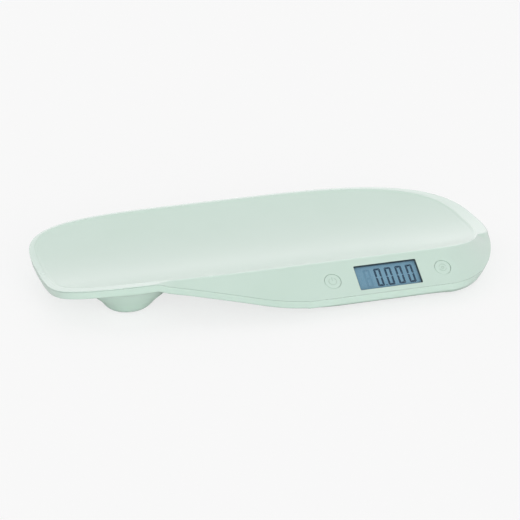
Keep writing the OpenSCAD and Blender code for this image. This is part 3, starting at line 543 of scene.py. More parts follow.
# Long scratches along one direction, for drawn, turned and rolled metal
brushTree, brushIn, brushOut = groupOf("brushedLines", [
    ("Vector", "NodeSocketVector", (0, 0, 0)), ("Color", "NodeSocketColor", (0.7, 0.7, 0.7, 1)),
    ("Line Scale", "NodeSocketFloat", 900.0), ("Stretch", "NodeSocketVector", (0.05, 1, 1)),
    ("Rough Low", "NodeSocketFloat", 0.2), ("Rough High", "NodeSocketFloat", 0.4)],
    [("Color", "NodeSocketColor"), ("Roughness", "NodeSocketFloat"), ("Height", "NodeSocketFloat")])
stretchNode = brushTree.nodes.new("ShaderNodeVectorMath")
stretchNode.operation = "MULTIPLY"
brushTree.links.new(brushIn.outputs["Vector"], stretchNode.inputs[0])
brushTree.links.new(brushIn.outputs["Stretch"], stretchNode.inputs[1])
lineNoise = noiseIn(brushTree, stretchNode.outputs[0], brushIn.outputs["Line Scale"], 3.0)
stain = noiseIn(brushTree, brushIn.outputs["Vector"], 60.0, 2.0)
brushTree.links.new(colourMix(brushTree, rangeIn(brushTree, stain, 0.0, 0.25), brushIn.outputs["Color"],
                              (0.35, 0.34, 0.33, 1)), brushOut.inputs["Color"])
brushTree.links.new(
    rangeIn(brushTree, lineNoise, brushIn.outputs["Rough Low"], brushIn.outputs["Rough High"]),
    brushOut.inputs["Roughness"])
brushTree.links.new(lineNoise, brushOut.inputs["Height"])


def newMaterial(name, tree, values, bump=0.1, distance=0.00005, shader=None, rotate=None):
    material = bpy.data.materials.new(name)
    material.use_nodes = True
    t = material.node_tree
    principled = t.nodes["Principled BSDF"]
    coords = t.nodes.new("ShaderNodeTexCoord")
    group = t.nodes.new("ShaderNodeGroup")
    group.node_tree = tree
    source = coords.outputs["Object"]
    if rotate:
        mapping = t.nodes.new("ShaderNodeMapping")
        mapping.inputs["Rotation"].default_value = [math.radians(a) for a in rotate]
        t.links.new(source, mapping.inputs["Vector"])
        source = mapping.outputs[0]
    t.links.new(source, group.inputs["Vector"])
    for label, value in values.items():
        group.inputs[label].default_value = value
    t.links.new(group.outputs["Color"], principled.inputs["Base Color"])
    t.links.new(group.outputs["Roughness"], principled.inputs["Roughness"])
    if bump:
        node = t.nodes.new("ShaderNodeBump")
        node.inputs["Strength"].default_value, node.inputs["Distance"].default_value = bump, distance
        t.links.new(group.outputs["Height"], node.inputs["Height"])
        t.links.new(node.outputs["Normal"], principled.inputs["Normal"])
    for label, value in (shader or {}).items():
        principled.inputs[label].default_value = value
    return material


def moulded(name, light, dark, low=0.32, high=0.4, grain=1500.0, bump=0.1, **shader):
    return newMaterial(name, grainTree, {"Light": colour(*light), "Dark": colour(*dark), "Rough Low": low,
                                         "Rough High": high, "Grain Scale": grain}, bump, shader=shader)


def metal(name, tone, low=0.2, high=0.4, stretch=(0.05, 1, 1), scale=900.0, bump=0.1):
    values = {"Color": colour(*tone), "Rough Low": low, "Rough High": high, "Stretch": stretch,
              "Line Scale": scale}
    return newMaterial(name, brushTree, values, bump, shader={"Metallic": 1.0})


gloss = {"Coat Weight": 0.8, "Coat Roughness": 0.2, "Coat IOR": 1.7}
dull = {"Specular IOR Level": 0.15}
faint = {"Alpha": 0.025}
# Name, light tone, dark tone, least and most roughness, then what differs from a plain moulding
mouldings = [
    ("trayPlastic", (201, 223, 211), (198, 221, 208), 0.30, 0.36, dict(gloss, bump=0.06)),
    ("rimPaintedHighlight", (208, 229, 218), (206, 227, 216), 0.22, 0.28, dict(gloss, bump=0.03)),
    # The rim strip is the tray's own plastic, painted lighter as a painted highlight where its flat top
    # catches the light
    ("basePlastic", (202, 224, 212), (198, 221, 208), 0.34, 0.42, dict(gloss, bump=0.08)),
    ("buttonPlastic", (202, 224, 212), (199, 222, 209), 0.28, 0.34, dict(gloss, bump=0.05)),
    ("signPlastic", (188, 211, 198), (184, 208, 194), 0.28, 0.34, dict(gloss, bump=0.05)),
    ("doorPlastic", (201, 220, 210), (197, 217, 206), 0.38, 0.46, {"bump": 0.08}),
    ("innerWhite", (232, 232, 228), (222, 222, 218), 0.45, 0.55, {}),
    ("innerBlack", (34, 36, 38), (28, 30, 32), 0.45, 0.6, {}),
    ("linerBlack", (44, 56, 60), (38, 48, 52), 0.5, 0.6, {}),
    ("foamBlack", (52, 53, 55), (38, 39, 41), 0.85, 0.95, {"grain": 4000.0, "bump": 0.5}),
    ("padRubber", (196, 199, 197), (184, 188, 186), 0.7, 0.85, {"grain": 2500.0, "bump": 0.3}),
    ("zebraRubber", (226, 178, 176), (206, 160, 160), 0.6, 0.75, {}),
    ("leadRed", (186, 34, 30), (168, 26, 24), 0.35, 0.5, {}),
    ("leadBlack", (36, 36, 38), (28, 28, 30), 0.35, 0.5, {}),
    ("leadBlue", (38, 78, 168), (30, 66, 148), 0.35, 0.5, {}),
    ("leadGreen", (40, 132, 70), (32, 116, 60), 0.35, 0.5, {}),
    ("batterySkin", (72, 82, 92), (60, 70, 80), 0.25, 0.4, {"bump": 0.03}),
    ("boardGreen", (34, 104, 62), (22, 84, 48), 0.3, 0.45, {"grain": 600.0, "bump": 0.2}),
    ("chipBlack", (42, 42, 44), (34, 34, 36), 0.5, 0.65, {"grain": 3000.0, "bump": 0.3}),
    ("partCeramic", (196, 166, 124), (176, 146, 106), 0.4, 0.55, {}),
    ("gaugeFilm", (226, 214, 176), (212, 198, 156), 0.3, 0.45, {}),
    ("lcdGlass", (112, 157, 181), (104, 149, 173), 0.22, 0.3, dict(dull, grain=260.0, bump=0.02)),
    ("lcdInk", (9, 58, 84), (7, 53, 77), 0.3, 0.4, dict(dull, bump=0.02)),
    ("lcdBezel", (72, 104, 122), (66, 97, 114), 0.4, 0.5, {"bump": 0.02}),
    ("lcdIdle", (97, 142, 167), (91, 135, 159), 0.3, 0.4, dict(dull, bump=0.02)),
    ("lensClear", (250, 252, 252), (244, 248, 248), 0.03, 0.06, dict(faint, bump=0)),
]
finishes = {name: moulded(name, light, dark, low, high, **more)
            for name, light, dark, low, high, more in mouldings}
finishes["cellSteel"] = metal("cellSteel", (190, 192, 196))
finishes["screwSteel"] = metal("screwSteel", (176, 178, 182), 0.22, 0.38, stretch=(1, 1, 0.08))
finishes["contactSteel"] = metal("contactSteel", (204, 200, 190), 0.2, 0.32, stretch=(1, 0.06, 1))
print("stage: finishes made")


def joinTo(piece, other):
    # Moves the faces of a helper object into a piece
    bm = bmesh.new()
    bm.from_mesh(piece.data)
    bm.from_mesh(other.data)
    bm.to_mesh(piece.data)
    bm.free()
    bpy.data.objects.remove(other)


def flared(loopAt, deep, soft, top, steps=6):
    # Loops of a cutter that opens with a soft edge and ends a hair proud of the face, so that it cuts cleanly
    proud = 0.015
    loops = [loopAt(0, deep), loopAt(0, -soft)]
    for k in range(1, steps + 1):
        a = math.pi / 2 * k / steps
        loops.append(loopAt(soft * (1 - math.cos(a)), -soft + (soft + proud) * math.sin(a)))
    return loops + [loopAt(soft + 0.01, top)]


screwSpots = [(-235, 20), (-110, 100), (-110, -60), (60, 100), (239, 30), (12, -80), (150, -85)]
screw = {"headT": 2.2, "recess": 0.8, "grip": 1.8, "recessR": 3.1, "boreR": 1.7, "bossR": 4.5, "holeR": 1.55,
         "holeDeep": 4.1, "postR": 4, "skinLeft": 1.3}
buttonXs = [-console["buttonOffset"], console["buttonOffset"]]
boardHoles = [(x, y) for x in (-74, 74) for y in (-15, 15)]
boardPost = ((0, -6), (1.05, -6), (1.05, -10), (2.5, -10), (2.5, -1.2), (0, -1.2))


def seatZ(spot):
    return float(trayUnderZ(np.array([spot[0]]), np.array([spot[1]]))[0]) + screw["recess"] + screw["headT"]


# Upper shell: trough, rim strip and console in one skin, with soft edges
def trayShape():
    wall = tray["wall"]
    lean = wall / tiltSin
    start = inset(creaseRing, tray["creaseMargin"])
    start = stacked(start, troughZ(start[:, 1]))
    crease = stacked(creaseRing, troughZ(creaseRing[:, 1]) + tray["creaseLift"] * (1 - turned))
    rim, parting = stacked(rimRing, rimZs - tray["rimDrop"] * (1 - turned)), stacked(partingRing, partingZs)
    toCrease = creaseRing - rimRing
    share = np.minimum(0.8, mix(wall, 0.7, turned) / np.linalg.norm(toCrease, axis=1))
    innerRim = stacked(rimRing + toCrease * share[:, None], rimZs - wall)
    skin = mix(wall, lean, turned * np.where(isFrontRight > 0, cornerShare * (1 - cornerTurn), 1))
    lip = stacked(inset(partingRing, skin), partingZs)
    innerCrease = inset(creaseRing, 0.8)
    innerCrease = stacked(innerCrease, troughZ(innerCrease[:, 1]) - wall)
    creaseBend = rounded(start, crease, rim, *[mix(tray["creaseRound"], tray["turnedRound"], turned)] * 2, 5)
    edge = mix(tray["edgeRound"], tray["consoleRound"], turned)
    edgeBend = rounded(crease, rim, parting, edge * mix(1.6, 1, turned), edge, 6)
    lipBend = rounded(rim, parting, lip, tray["lipRound"], tray["lipRound"], 3)
    trough = [start] + held(start, creaseBend[0], tray["flatRun"])[1:] + creaseBend
    strip = [creaseBend[-1]] + held(creaseBend[-1], edgeBend[0], tray["flatRun"]) + edgeBend
    faceTop, faceLow = held(edgeBend[-1], lipBend[0], 1.0)
    parts = tray["faceParts"]
    face = [flattened(mix(faceTop, faceLow, k / parts)) for k in range(1, parts)]
    shape = Shape()
    shape.loft(trough)
    # The rim strip takes the second finish, the tray plastic painted lighter as a painted highlight
    shape.loft(strip, finish=1)
    shape.loft([edgeBend[-1], faceTop] + face + [faceLow] + lipBend + [lip, innerRim, innerCrease])
    ladder(shape, start, tray["rungParts"], lambda x, y: troughZ(y))
    ladder(shape, innerCrease, tray["innerRungs"], lambda x, y: troughZ(y) - wall)
    return shape


def windowLoop(grow, z):
    return onConsole(roundedBox(0, 0, console["windowWidth"] + 2 * grow, console["windowHeight"] + 2 * grow,
                                console["windowCorner"] + grow, z))


def makeTray():
    piece = trayShape().piece("trayShell", [finishes["trayPlastic"], finishes["rimPaintedHighlight"]])
    window = Shape()
    window.loft(flared(windowLoop, -8, console["windowRound"], 4), startCap=True, endCap=True)
    cutters = [window.piece("windowCutter", finishes["trayPlastic"])]
    for x in buttonXs:
        def boreLoop(grow, z):
            return onConsole(circle(x, 0, console["buttonBore"] + grow, 72, z))
        bore = Shape()
        bore.loft(flared(boreLoop, -8, console["boreRound"], 4), startCap=True, endCap=True)
        cutters.append(bore.piece("boreCutter", finishes["trayPlastic"]))
    cutWith(piece, *cutters)
    inside = Shape()
    for spot in screwSpots:
        joint = seatZ(spot) + screw["grip"]
        top, deep, r = troughZ(spot[1]) - screw["skinLeft"], joint + screw["holeDeep"], screw["holeR"]
        profile = [(0, deep), (r, deep), (r, joint), (screw["postR"], joint), (screw["postR"], top), (0, top)]
        inside.turnedOn(profile, 24, (spot[0], spot[1], 0))
    for x, y in boardHoles:
        inside.turnedOn(boardPost, 24, (x, y, 0), onConsole)
    joinTo(piece, inside.piece("trayBosses", finishes["trayPlastic"]))
    finishShading(piece, 32, True)
    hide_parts("tray_shell")
    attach(piece, "scale_body")


makeTray()
print("stage: tray")

# Battery box, as the frame has it, and the grid that fills the flat areas of the lower shell
box = {"x": 85, "y": -82, "roomL": 52, "roomW": 33.8, "lip": 1.6, "wall": 2.4, "roomLow": 6, "roomTop": 17.2,
       "doorT": 1.8, "hingeX": 58.6, "hingeZ": 4.9, "tabW": 9, "tabL": 1.4, "tabT": 1.1}
paving = {"reachX": 270, "reachY": 136, "step": 4.6, "clear": 2.2, "outlineClear": 1.5}


def inRing(points, ring):
    inside = np.zeros(len(points), bool)
    ax, ay = ring[:, 0], ring[:, 1]
    bx, by = np.roll(ax, -1), np.roll(ay, -1)
    for x0, y0, x1, y1 in zip(ax, ay, bx, by):
        if y0 == y1:
            continue
        crosses = ((y0 > points[:, 1]) != (y1 > points[:, 1]))
        at = x0 + (points[:, 1] - y0) * (x1 - x0) / (y1 - y0)
        inside ^= crosses & (points[:, 0] < at)
    return inside


def paved(shape, outer, holes, extra, height):
    # Fills the area inside a ring with triangles, round its holes and through its extra rings
    coords, edges = [], []

    def addLoop(loop):
        start = len(coords)
        coords.extend([tuple(p[:2]) for p in loop])
        edges.extend([(start + i, start + (i + 1) % len(loop)) for i in range(len(loop))])
    for loop in [outer] + holes:
        addLoop(loop)
    for loop in extra:
        flat = np.asarray(loop)[:, :2]
        inside = inRing(flat, outer)
        if inside.all():
            addLoop(loop)
        else:
            spaced = [tuple(p) for p in flat[inside]
                      if np.min(np.hypot(*(outer[:, :2] - p).T)) > paving["outlineClear"]]
            coords.extend(spaced)
    near = np.array([p[:2] for loop in holes + extra + [outer] for p in loop])
    step = paving["step"]
    gx, gy = np.meshgrid(np.arange(-paving["reachX"], paving["reachX"] + 1, step),
                         np.arange(-paving["reachY"], paving["reachY"], step))
    gx = gx + (np.arange(gx.shape[0]) % 2)[:, None] * step / 2
    grid = np.column_stack([gx.ravel(), gy.ravel()])
    grid = grid[inRing(grid, outer)]
    for fx, fy in feet:
        grid = grid[np.hypot(grid[:, 0] - fx, grid[:, 1] - fy) > cup["clear"]]
    keep = [np.min(np.hypot(near[:, 0] - p[0], near[:, 1] - p[1])) > paving["clear"] for p in grid]
    grid = grid[np.array(keep)]
    for hole in holes:
        grid = grid[~inRing(grid, np.asarray(hole)[:, :2])]
    coords.extend([tuple(p) for p in grid])
    points, _, faces, _, _, _ = delaunay_2d_cdt(coords, edges, [], 0, 1e-7)
    points = np.array([tuple(p) for p in points])
    faces = np.array([tuple(f) for f in faces if len(f) == 3])
    middle = points[faces].mean(axis=1)
    keep = inRing(middle, outer)
    for hole in holes:
        keep &= ~inRing(middle, np.asarray(hole)[:, :2])
    shape.add(np.column_stack([points, height(points[:, 0], points[:, 1])]), faces[keep])


# Lower shell: side band, underside with its foot bowls, battery box and screw wells
def bandShape():
    wall = tray["wall"]
    seamZs = partingZs - tray["seam"]
    innerFloor = inset(bellyRing, 0.6)
    innerFloor = stacked(innerFloor, underZ(innerFloor[:, 0], innerFloor[:, 1]) + wall)
    innerBand = stacked(inset(bandRing, wall), bandZs + 1.5)
    innerTop = stacked(inset(partingRing, wall), seamZs - band["wallFall"])
    parting, bandLow = stacked(partingRing, seamZs), stacked(bandRing, bandZs)
    under = stacked(bellyRing, undersideZ(bellyRing[:, 0], bellyRing[:, 1]))
    last = inset(bellyRing, 7)
    last = stacked(last, undersideZ(last[:, 0], last[:, 1]))
    lipBend = rounded(innerTop, parting, bandLow, band["seatRound"], band["seatRound"], 4)
    bandBend = rounded(parting, bandLow, under, 1.8, 2.4, 6)
    underBend = rounded(bandLow, under, last, 3.5, 5.0, 6)
    loops = [innerFloor, innerBand, innerTop] + lipBend + held(lipBend[-1], bandBend[0], 1.0) + bandBend
    loops += held(bandBend[-1], underBend[0], 1.0) + underBend + [last]
    shape = Shape()
    shape.loft(loops)
    return shape, last, innerFloor


def innerFloorZ(x, y):
    return underZ(x, y) + tray["wall"]


def addScrewWell(shape, spot, holes, innerHoles, extra):
    seat = seatZ(spot)
    joint = seat + screw["grip"]
    low = circle(*spot, screw["recessR"] + 0.3, 32, undersideZ)
    edge = circle(*spot, screw["recessR"], 32, lambda x, y: undersideZ(x, y) + 0.3)
    floorHere = circle(*spot, screw["bossR"], 32, innerFloorZ)
    shape.loft([low, edge] + [circle(*spot, screw[r], 32, z) for r, z in (
        ("recessR", seat), ("boreR", seat), ("boreR", joint), ("bossR", joint))] + [floorHere])
    holes.append(low)
    innerHoles.append(floorHere)
    extra.append(circle(*spot, screw["recessR"] + 1.4, 32, 0))


def addFootHousing(shape, foot, holes, innerHoles, extra):
    n = cup["steps"]
    mouth = circle(*foot, cup["mouthR"], n, undersideZ)
    floorHere = circle(*foot, cup["outerR"], n, innerFloorZ)
    shape.loft([mouth] + [circle(*foot, r, n, z) for r, z in cup["inside"]] + [floorHere])
    holes.append(mouth)
    innerHoles.append(floorHere)
    extra.extend([circle(*foot, r, n, 0) for r in cup["rings"]])


def addBatteryRoom(shape, holes, innerHoles, extra):
    recessL, recessW = box["roomL"] + 2 * box["lip"], box["roomW"] + 2 * box["lip"]
    outerL, outerW = box["roomL"] + 2 * box["wall"], box["roomW"] + 2 * box["wall"]

    def loop(long, wide, corner, z):
        return roundedBox(box["x"], box["y"], long, wide, corner, z)
    low = loop(recessL + 0.6, recessW + 0.6, 1.3, undersideZ)
    shellLow = loop(outerL, outerW, 1.6, innerFloorZ)
    shape.loft([low, loop(recessL, recessW, 1.0, 4.3), loop(recessL, recessW, 1.0, box["roomLow"]),
                loop(box["roomL"], box["roomW"], 1.0, box["roomLow"]),
                loop(box["roomL"], box["roomW"], 1.0, box["roomTop"])], endCap=True)
    shape.loft([loop(outerL, outerW, 1.6, box["roomTop"] + box["wall"]), shellLow], startCap=True)
    holes.append(low)
    innerHoles.append(shellLow)
    extra.append(loop(recessL + 3, recessW + 3, 2, 0))


def alongHinge(points):
    # Lays a turned profile along the hinge of the battery door
    return np.column_stack([box["hingeX"] + points[:, 0], box["y"] + points[:, 2],
                            box["hingeZ"] + points[:, 1]])


def makeBase():
    shape, last, innerFloor = bandShape()
    holes, innerHoles, extra = [], [], []
    for spot in screwSpots:
        addScrewWell(shape, spot, holes, innerHoles, extra)
    for foot in feet:
        addFootHousing(shape, foot, holes, innerHoles, extra)
    addBatteryRoom(shape, holes, innerHoles, extra)
    paved(shape, last, holes, extra, undersideZ)
    paved(shape, innerFloor, innerHoles, [], innerFloorZ)
    piece = shape.piece("baseShell", finishes["basePlastic"])
    pin, notch, inside = Shape(), Shape(), Shape()
    half = box["roomW"] / 2 + box["lip"] + 1.6
    pin.turnedOn([(0, -half), (0.85, -half), (0.85, half), (0, half)], 24, place=alongHinge)
    nx = box["x"] + box["roomL"] / 2 + box["lip"] + 0.4
    notch.loft([roundedBox(nx, box["y"], 2.8, box["tabW"] + 0.6, 0.5, z) for z in (0, 5.4)],
               startCap=True, endCap=True)
    cutWith(piece, pin.piece("pinCutter", finishes["basePlastic"]),
            notch.piece("notchCutter", finishes["basePlastic"]))
    for fx, fy in feet:
        for sx in (-1, 1):
            for sy in (-1, 1):
                inside.turnedOn(cup["column"], 20, (fx + sx * cup["columnAt"], fy + sy * cup["columnAt"], 0))
    joinTo(piece, inside.piece("cellColumns", finishes["basePlastic"]))
    finishShading(piece, 32, True)
    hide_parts("base_shell")
    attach(piece, "scale_body")


makeBase()
print("stage: base")

# Buttons: crowned caps with a raised sign, flange and pusher
button = {"capR": 9.5, "top": -0.3, "crown": 0.12, "edge": 0.6, "flangeR": 11, "flangeTop": -2.7,
          "flangeT": 1.0, "pusherR": 2.5, "pusherLow": -5.8, "signHeight": 0.3, "signWidth": 0.7}


def crownZ(r):
    return button["top"] + button["crown"] * (1 - (r / button["capR"]) ** 2)


def signStrip(shape, x, path, closed=False):
    # A low raised line with sloping sides along a path on the cap
    path = np.asarray(path, float)
    d = np.roll(path, -1, 0) - np.roll(path, 1, 0) if closed else np.gradient(path, axis=0)
    side = np.column_stack([-d[:, 1], d[:, 0]]) / np.linalg.norm(d, axis=1)[:, None]
    w, h = button["signWidth"] / 2, button["signHeight"]
    z = crownZ(np.linalg.norm(path, axis=1))
    loops = []
    for off, lift in ((-w - 0.1, -0.3), (-w - 0.1, 0), (-w, h), (w, h), (w + 0.1, 0), (w + 0.1, -0.3)):
        p = path + side * off
        loops.append(np.column_stack([x + p[:, 0], p[:, 1], z + lift]))
    loops = [onConsole(loop) for loop in loops]
    rows = np.stack(loops, axis=1)
    shape.loft(list(rows), startCap=not closed, endCap=not closed, joined=closed)


def arcPath(r, start, end, steps, cx=0, cy=0):
    a = np.radians(np.linspace(start, end, steps))
    return np.column_stack([cx + r * np.cos(a), cy + r * np.sin(a)])


def makeButton(name, node, x, body, sign):
    b = button
    profile = [(0, crownZ(0))] + [(r, crownZ(r)) for r in (1.5, 3, 4.5, 6, 7.5, b["capR"] - b["edge"] - 0.3)]
    for k in range(7):
        a = math.pi / 2 * k / 6
        profile.append((b["capR"] - b["edge"] * (1 - math.sin(a)), b["top"] - b["edge"] * (1 - math.cos(a))))
    low = b["flangeTop"] - b["flangeT"]
    profile += [(b["capR"], b["flangeTop"]), (b["flangeR"], b["flangeTop"]), (b["flangeR"], low),
                (b["pusherR"], low), (b["pusherR"], b["pusherLow"]), (0, b["pusherLow"])]
    shape = Shape()
    shape.turnedOn(profile, 96, (x, 0, 0), onConsole)
    piece = shape.piece(name, finishes["buttonPlastic"])
    marks = Shape()
    sign(marks, x)
    piece.data.materials.append(finishes["signPlastic"])
    marks.finishOf = [1] * len(marks.faces)
    joinTo(piece, marks.piece(name + "Sign", [finishes["buttonPlastic"], finishes["signPlastic"]]))
    finishShading(piece, 30, True)
    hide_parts(node)
    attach(piece, body)


def powerSign(shape, x):
    signStrip(shape, x, arcPath(4.4, 125, 415, 40))
    signStrip(shape, x, [(0, 1.0), (0, 2.0), (0, 3.5), (0, 5.4)])


def zeroSign(shape, x):
    # Two half turns round a dot: set back to nought
    signStrip(shape, x, arcPath(4.4, 20, 160, 24))
    signStrip(shape, x, arcPath(4.4, 200, 340, 24))
    signStrip(shape, x, arcPath(1.4, 0, 345, 24), closed=True)


makeButton("leftButton", "left_button", buttonXs[0], "left_key", powerSign)
makeButton("rightButton", "right_button", buttonXs[1], "right_key", zeroSign)
print("stage: buttons")

# Display: dark liner of the window, glass sandwich, digits and faint idle bars
display = {"glassTop": -4.3, "glassT": 2.2, "width": 80.0, "height": 37.0, "corner": 0.8, "digitW": 8.2,
           "digitH": 24, "pitch": 12.9, "firstAt": 0.31, "bar": 2.45, "cut": 1.1, "gap": 0.12, "ink": 0.06}
# Growth and height of each loop of the liner and of the ring under the lens
liner = {"wall": ((0.02, -0.6), (0.02, -2.45), (-0.45, -2.45), (-0.45, -0.8), (-0.3, -0.6)),
         "bezel": ((0.6, -3.52), (0.6, -4.28), (-0.5, -4.28), (-0.5, -3.52))}
# Inset and depth of each loop of the glass, with the seam between its two plates
glassLoops = ((0.3, 0), (0, 0.3), (0, 0.95), (0.15, 1.0), (0.15, 1.1), (0, 1.15),
              (0, display["glassT"] - 0.3), (0.3, display["glassT"]))


def makeLiner():
    shape = Shape()
    for finish, name in enumerate(("wall", "bezel")):
        shape.loft([windowLoop(grow, z) for grow, z in liner[name]], joined=True, finish=finish)
    piece = shape.piece("windowLiner", [finishes["linerBlack"], finishes["lcdBezel"]])
    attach(piece, "scale_body")


def makeGlass():
    d = display
    shape = Shape()
    shape.loft([onConsole(roundedBox(0, 0, d["width"] - 2 * trim, d["height"] - 2 * trim, d["corner"] - trim,
                                     d["glassTop"] - deep)) for trim, deep in glassLoops],
               startCap=True, endCap=True)
    piece = shape.piece("lcdGlass", finishes["lcdGlass"], 20)
    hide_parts("lcd_glass")
    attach(piece, "scale_body")


def flatPlate(shape, corners, x, y, low, high):
    corners = np.asarray(corners, float) + [x, y]
    shape.loft([onConsole(np.column_stack([corners, np.full(len(corners), z)])) for z in (low, high)],
               startCap=True, endCap=True)


def patch(halfX, halfY):
    return [(-halfX, -halfY), (halfX, -halfY), (halfX, halfY), (-halfX, halfY)]


def digitBars(full=False):
    # Bars round the edge of a digit, with the middle one only where all are asked for
    d = display
    hx, hy, b, c, g = d["digitW"] / 2, d["digitH"] / 2, d["bar"], d["cut"], d["gap"]
    top = [(-hx + c, hy), (hx - c, hy), (hx - c / 2 - g, hy - c / 2), (hx - b - g, hy - b),
           (-hx + b + g, hy - b), (-hx + c / 2 + g, hy - c / 2)]
    side = [(hx, hy - c), (hx - c / 2, hy - c / 2 - g), (hx - b, hy - b - g), (hx - b, b / 2 + 2 * g),
            (hx - b / 2, 2 * g), (hx, 2 * g + 0.2)]
    bars = [top, [(x, -y) for x, y in top]]
    bars += [[(sx * x, sy * y) for x, y in side] for sx in (-1, 1) for sy in (-1, 1)]
    if full:
        m, n = hx - b / 2 - 0.3, hx - b - 0.3
        bars.append([(-m, 0), (-n, b / 2), (n, b / 2), (m, 0), (n, -b / 2), (-n, -b / 2)])
    return bars


def makeDigits():
    d = display
    first = (d["firstAt"] - 0.5) * console["windowWidth"] + d["digitW"] / 2
    low, high = d["glassTop"] - 0.02, d["glassTop"] + d["ink"]
    ink, idle = Shape(), Shape()
    for k in range(4):
        for bar in digitBars():
            flatPlate(ink, bar, first + k * d["pitch"], 0, low, high)
    flatPlate(ink, patch(0.75, 0.75), first + d["pitch"] / 2, -d["digitH"] / 2 + 0.9, low, high)
    piece = ink.piece("lcdDigits", finishes["lcdInk"], 20)
    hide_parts("lcd_digits")
    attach(piece, "scale_body")
    for bar in digitBars(full=True):
        flatPlate(idle, bar, first - d["pitch"], 0, low, high - 0.02)
    flatPlate(idle, patch(0.9, 1.1), first + 3.62 * d["pitch"], -7.4, low, high - 0.02)
    piece = idle.piece("lcdIdleBars", finishes["lcdIdle"], 20)
    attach(piece, "scale_body")


makeLiner()
makeGlass()
makeDigits()
print("stage: display")

# Foot pads: soft discs with ring grooves and a rounded rim
pad = {"r": 13.0, "t": 2.2, "rim": 0.8, "grooves": (4.2, 6.6, 9.0, 11.2), "grooveW": 0.8, "grooveD": 0.4}


def makePads():
    p = pad
    profile = [(0, p["t"]), (p["r"], p["t"])]
    for k in range(6):
        a = math.pi / 2 * k / 5
        profile.append((p["r"] - p["rim"] * (1 - math.cos(a)), p["rim"] * (1 - math.sin(a))))
    for g in reversed(p["grooves"]):
        w = p["grooveW"] / 2
        profile += [(g + w, 0), (g + w * 0.6, p["grooveD"]), (g - w * 0.6, p["grooveD"]), (g - w, 0)]
    profile.append((0, 0))
    for (x, y), place in zip(feet, footNames):
        shape = Shape()
        shape.turnedOn(profile, 64, (x, y, 0))
        piece = shape.piece("pad_" + place, finishes["padRubber"], 30)
        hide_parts("foot_pad_" + place)
        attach(piece, "scale_body")


makePads()
print("stage: feet")

# Geometry Nodes: a small builder, then trees for screws, springs and grip bars
class Tree:
    def __init__(self, name, inputs):
        self.group = bpy.data.node_groups.new(name, "GeometryNodeTree")
        self.group.interface.new_socket("Spots", in_out="INPUT", socket_type="NodeSocketGeometry")
        for label, kind, value in inputs:
            socket = self.group.interface.new_socket(label, in_out="INPUT", socket_type="NodeSocket" + kind)
            if value is not None:
                socket.default_value = value
        self.group.interface.new_socket("Geometry", in_out="OUTPUT", socket_type="NodeSocketGeometry")
        self.given = self.group.nodes.new("NodeGroupInput").outputs

    def made(self, kind, inputs=None, **settings):
        node = self.group.nodes.new(kind)
        for label, value in settings.items():
            setattr(node, label, value)
        for label, value in (inputs or {}).items():
            if isinstance(value, bpy.types.NodeSocket):
                self.group.links.new(value, node.inputs[label])
            else:
                node.inputs[label].default_value = value
        return node

    def node(self, kind, inputs=None, **settings):
        return self.made(kind, inputs, **settings).outputs[0]

    def maths(self, operation, a, b=0.0):
        return self.node("ShaderNodeMath", {0: a, 1: b}, operation=operation)

    def times(self, a, b):
        return self.maths("MULTIPLY", a, b)

    def vector(self, x=0.0, y=0.0, z=0.0):
        return self.node("ShaderNodeCombineXYZ", {"X": x, "Y": y, "Z": z})

    def moved(self, geometry, **inputs):
        names = {"by": "Translation", "turn": "Rotation"}
        placed = {names[label]: value for label, value in inputs.items()}
        return self.node("GeometryNodeTransform", {"Geometry": geometry, **placed})

    def joined(self, *parts):
        join = self.group.nodes.new("GeometryNodeJoinGeometry")
        for part in reversed(parts):
            self.group.links.new(part, join.inputs[0])
        return join.outputs[0]

    def finished(self, body):
        # One copy on each spot, turned as the spot's own attribute says
        named = self.group.nodes.new("GeometryNodeInputNamedAttribute")
        named.data_type = "FLOAT_VECTOR"
        named.inputs["Name"].default_value = "turn"
        turnTo = self.node("FunctionNodeEulerToRotation", {0: named.outputs["Attribute"]})
        copies = self.node("GeometryNodeInstanceOnPoints", {"Points": self.given["Spots"], "Instance": body,
                                                            "Rotation": turnTo})
        real = self.node("GeometryNodeRealizeInstances", {"Geometry": copies})
        dressed = self.node("GeometryNodeSetMaterial", {"Geometry": real, "Material": self.given["Material"]})
        out = self.group.nodes.new("NodeGroupOutput")
        self.group.links.new(dressed, out.inputs["Geometry"])
        return self.group


def grown(tree, name, spots, turns, values, material, angle=30):
    # Runs a tree on a point for each spot and keeps the plain mesh; lengths are floats in millimetres
    mesh = bpy.data.meshes.new(name + "Spots")
    mesh.from_pydata([tuple(np.asarray(p, float) * mm) for p in spots], [], [])
    mesh.attributes.new("turn", "FLOAT_VECTOR", "POINT").data.foreach_set("vector", np.radians(turns).ravel())
    piece = bpy.data.objects.new(name, mesh)
    scene.collection.objects.link(piece)
    modifier = piece.modifiers.new("grow", "NODES")
    modifier.node_group = tree
    values = dict(values, Material=material)
    for item in tree.interface.items_tree:
        if item.in_out == "INPUT" and item.name in values:
            value = values[item.name]
            modifier[item.identifier] = value * mm if isinstance(value, float) else value
    made = bpy.data.meshes.new_from_object(piece.evaluated_get(bpy.context.evaluated_depsgraph_get()))
    piece.modifiers.clear()
    piece.data = made
    bpy.data.meshes.remove(mesh)
    finishShading(piece, angle)
    return piece


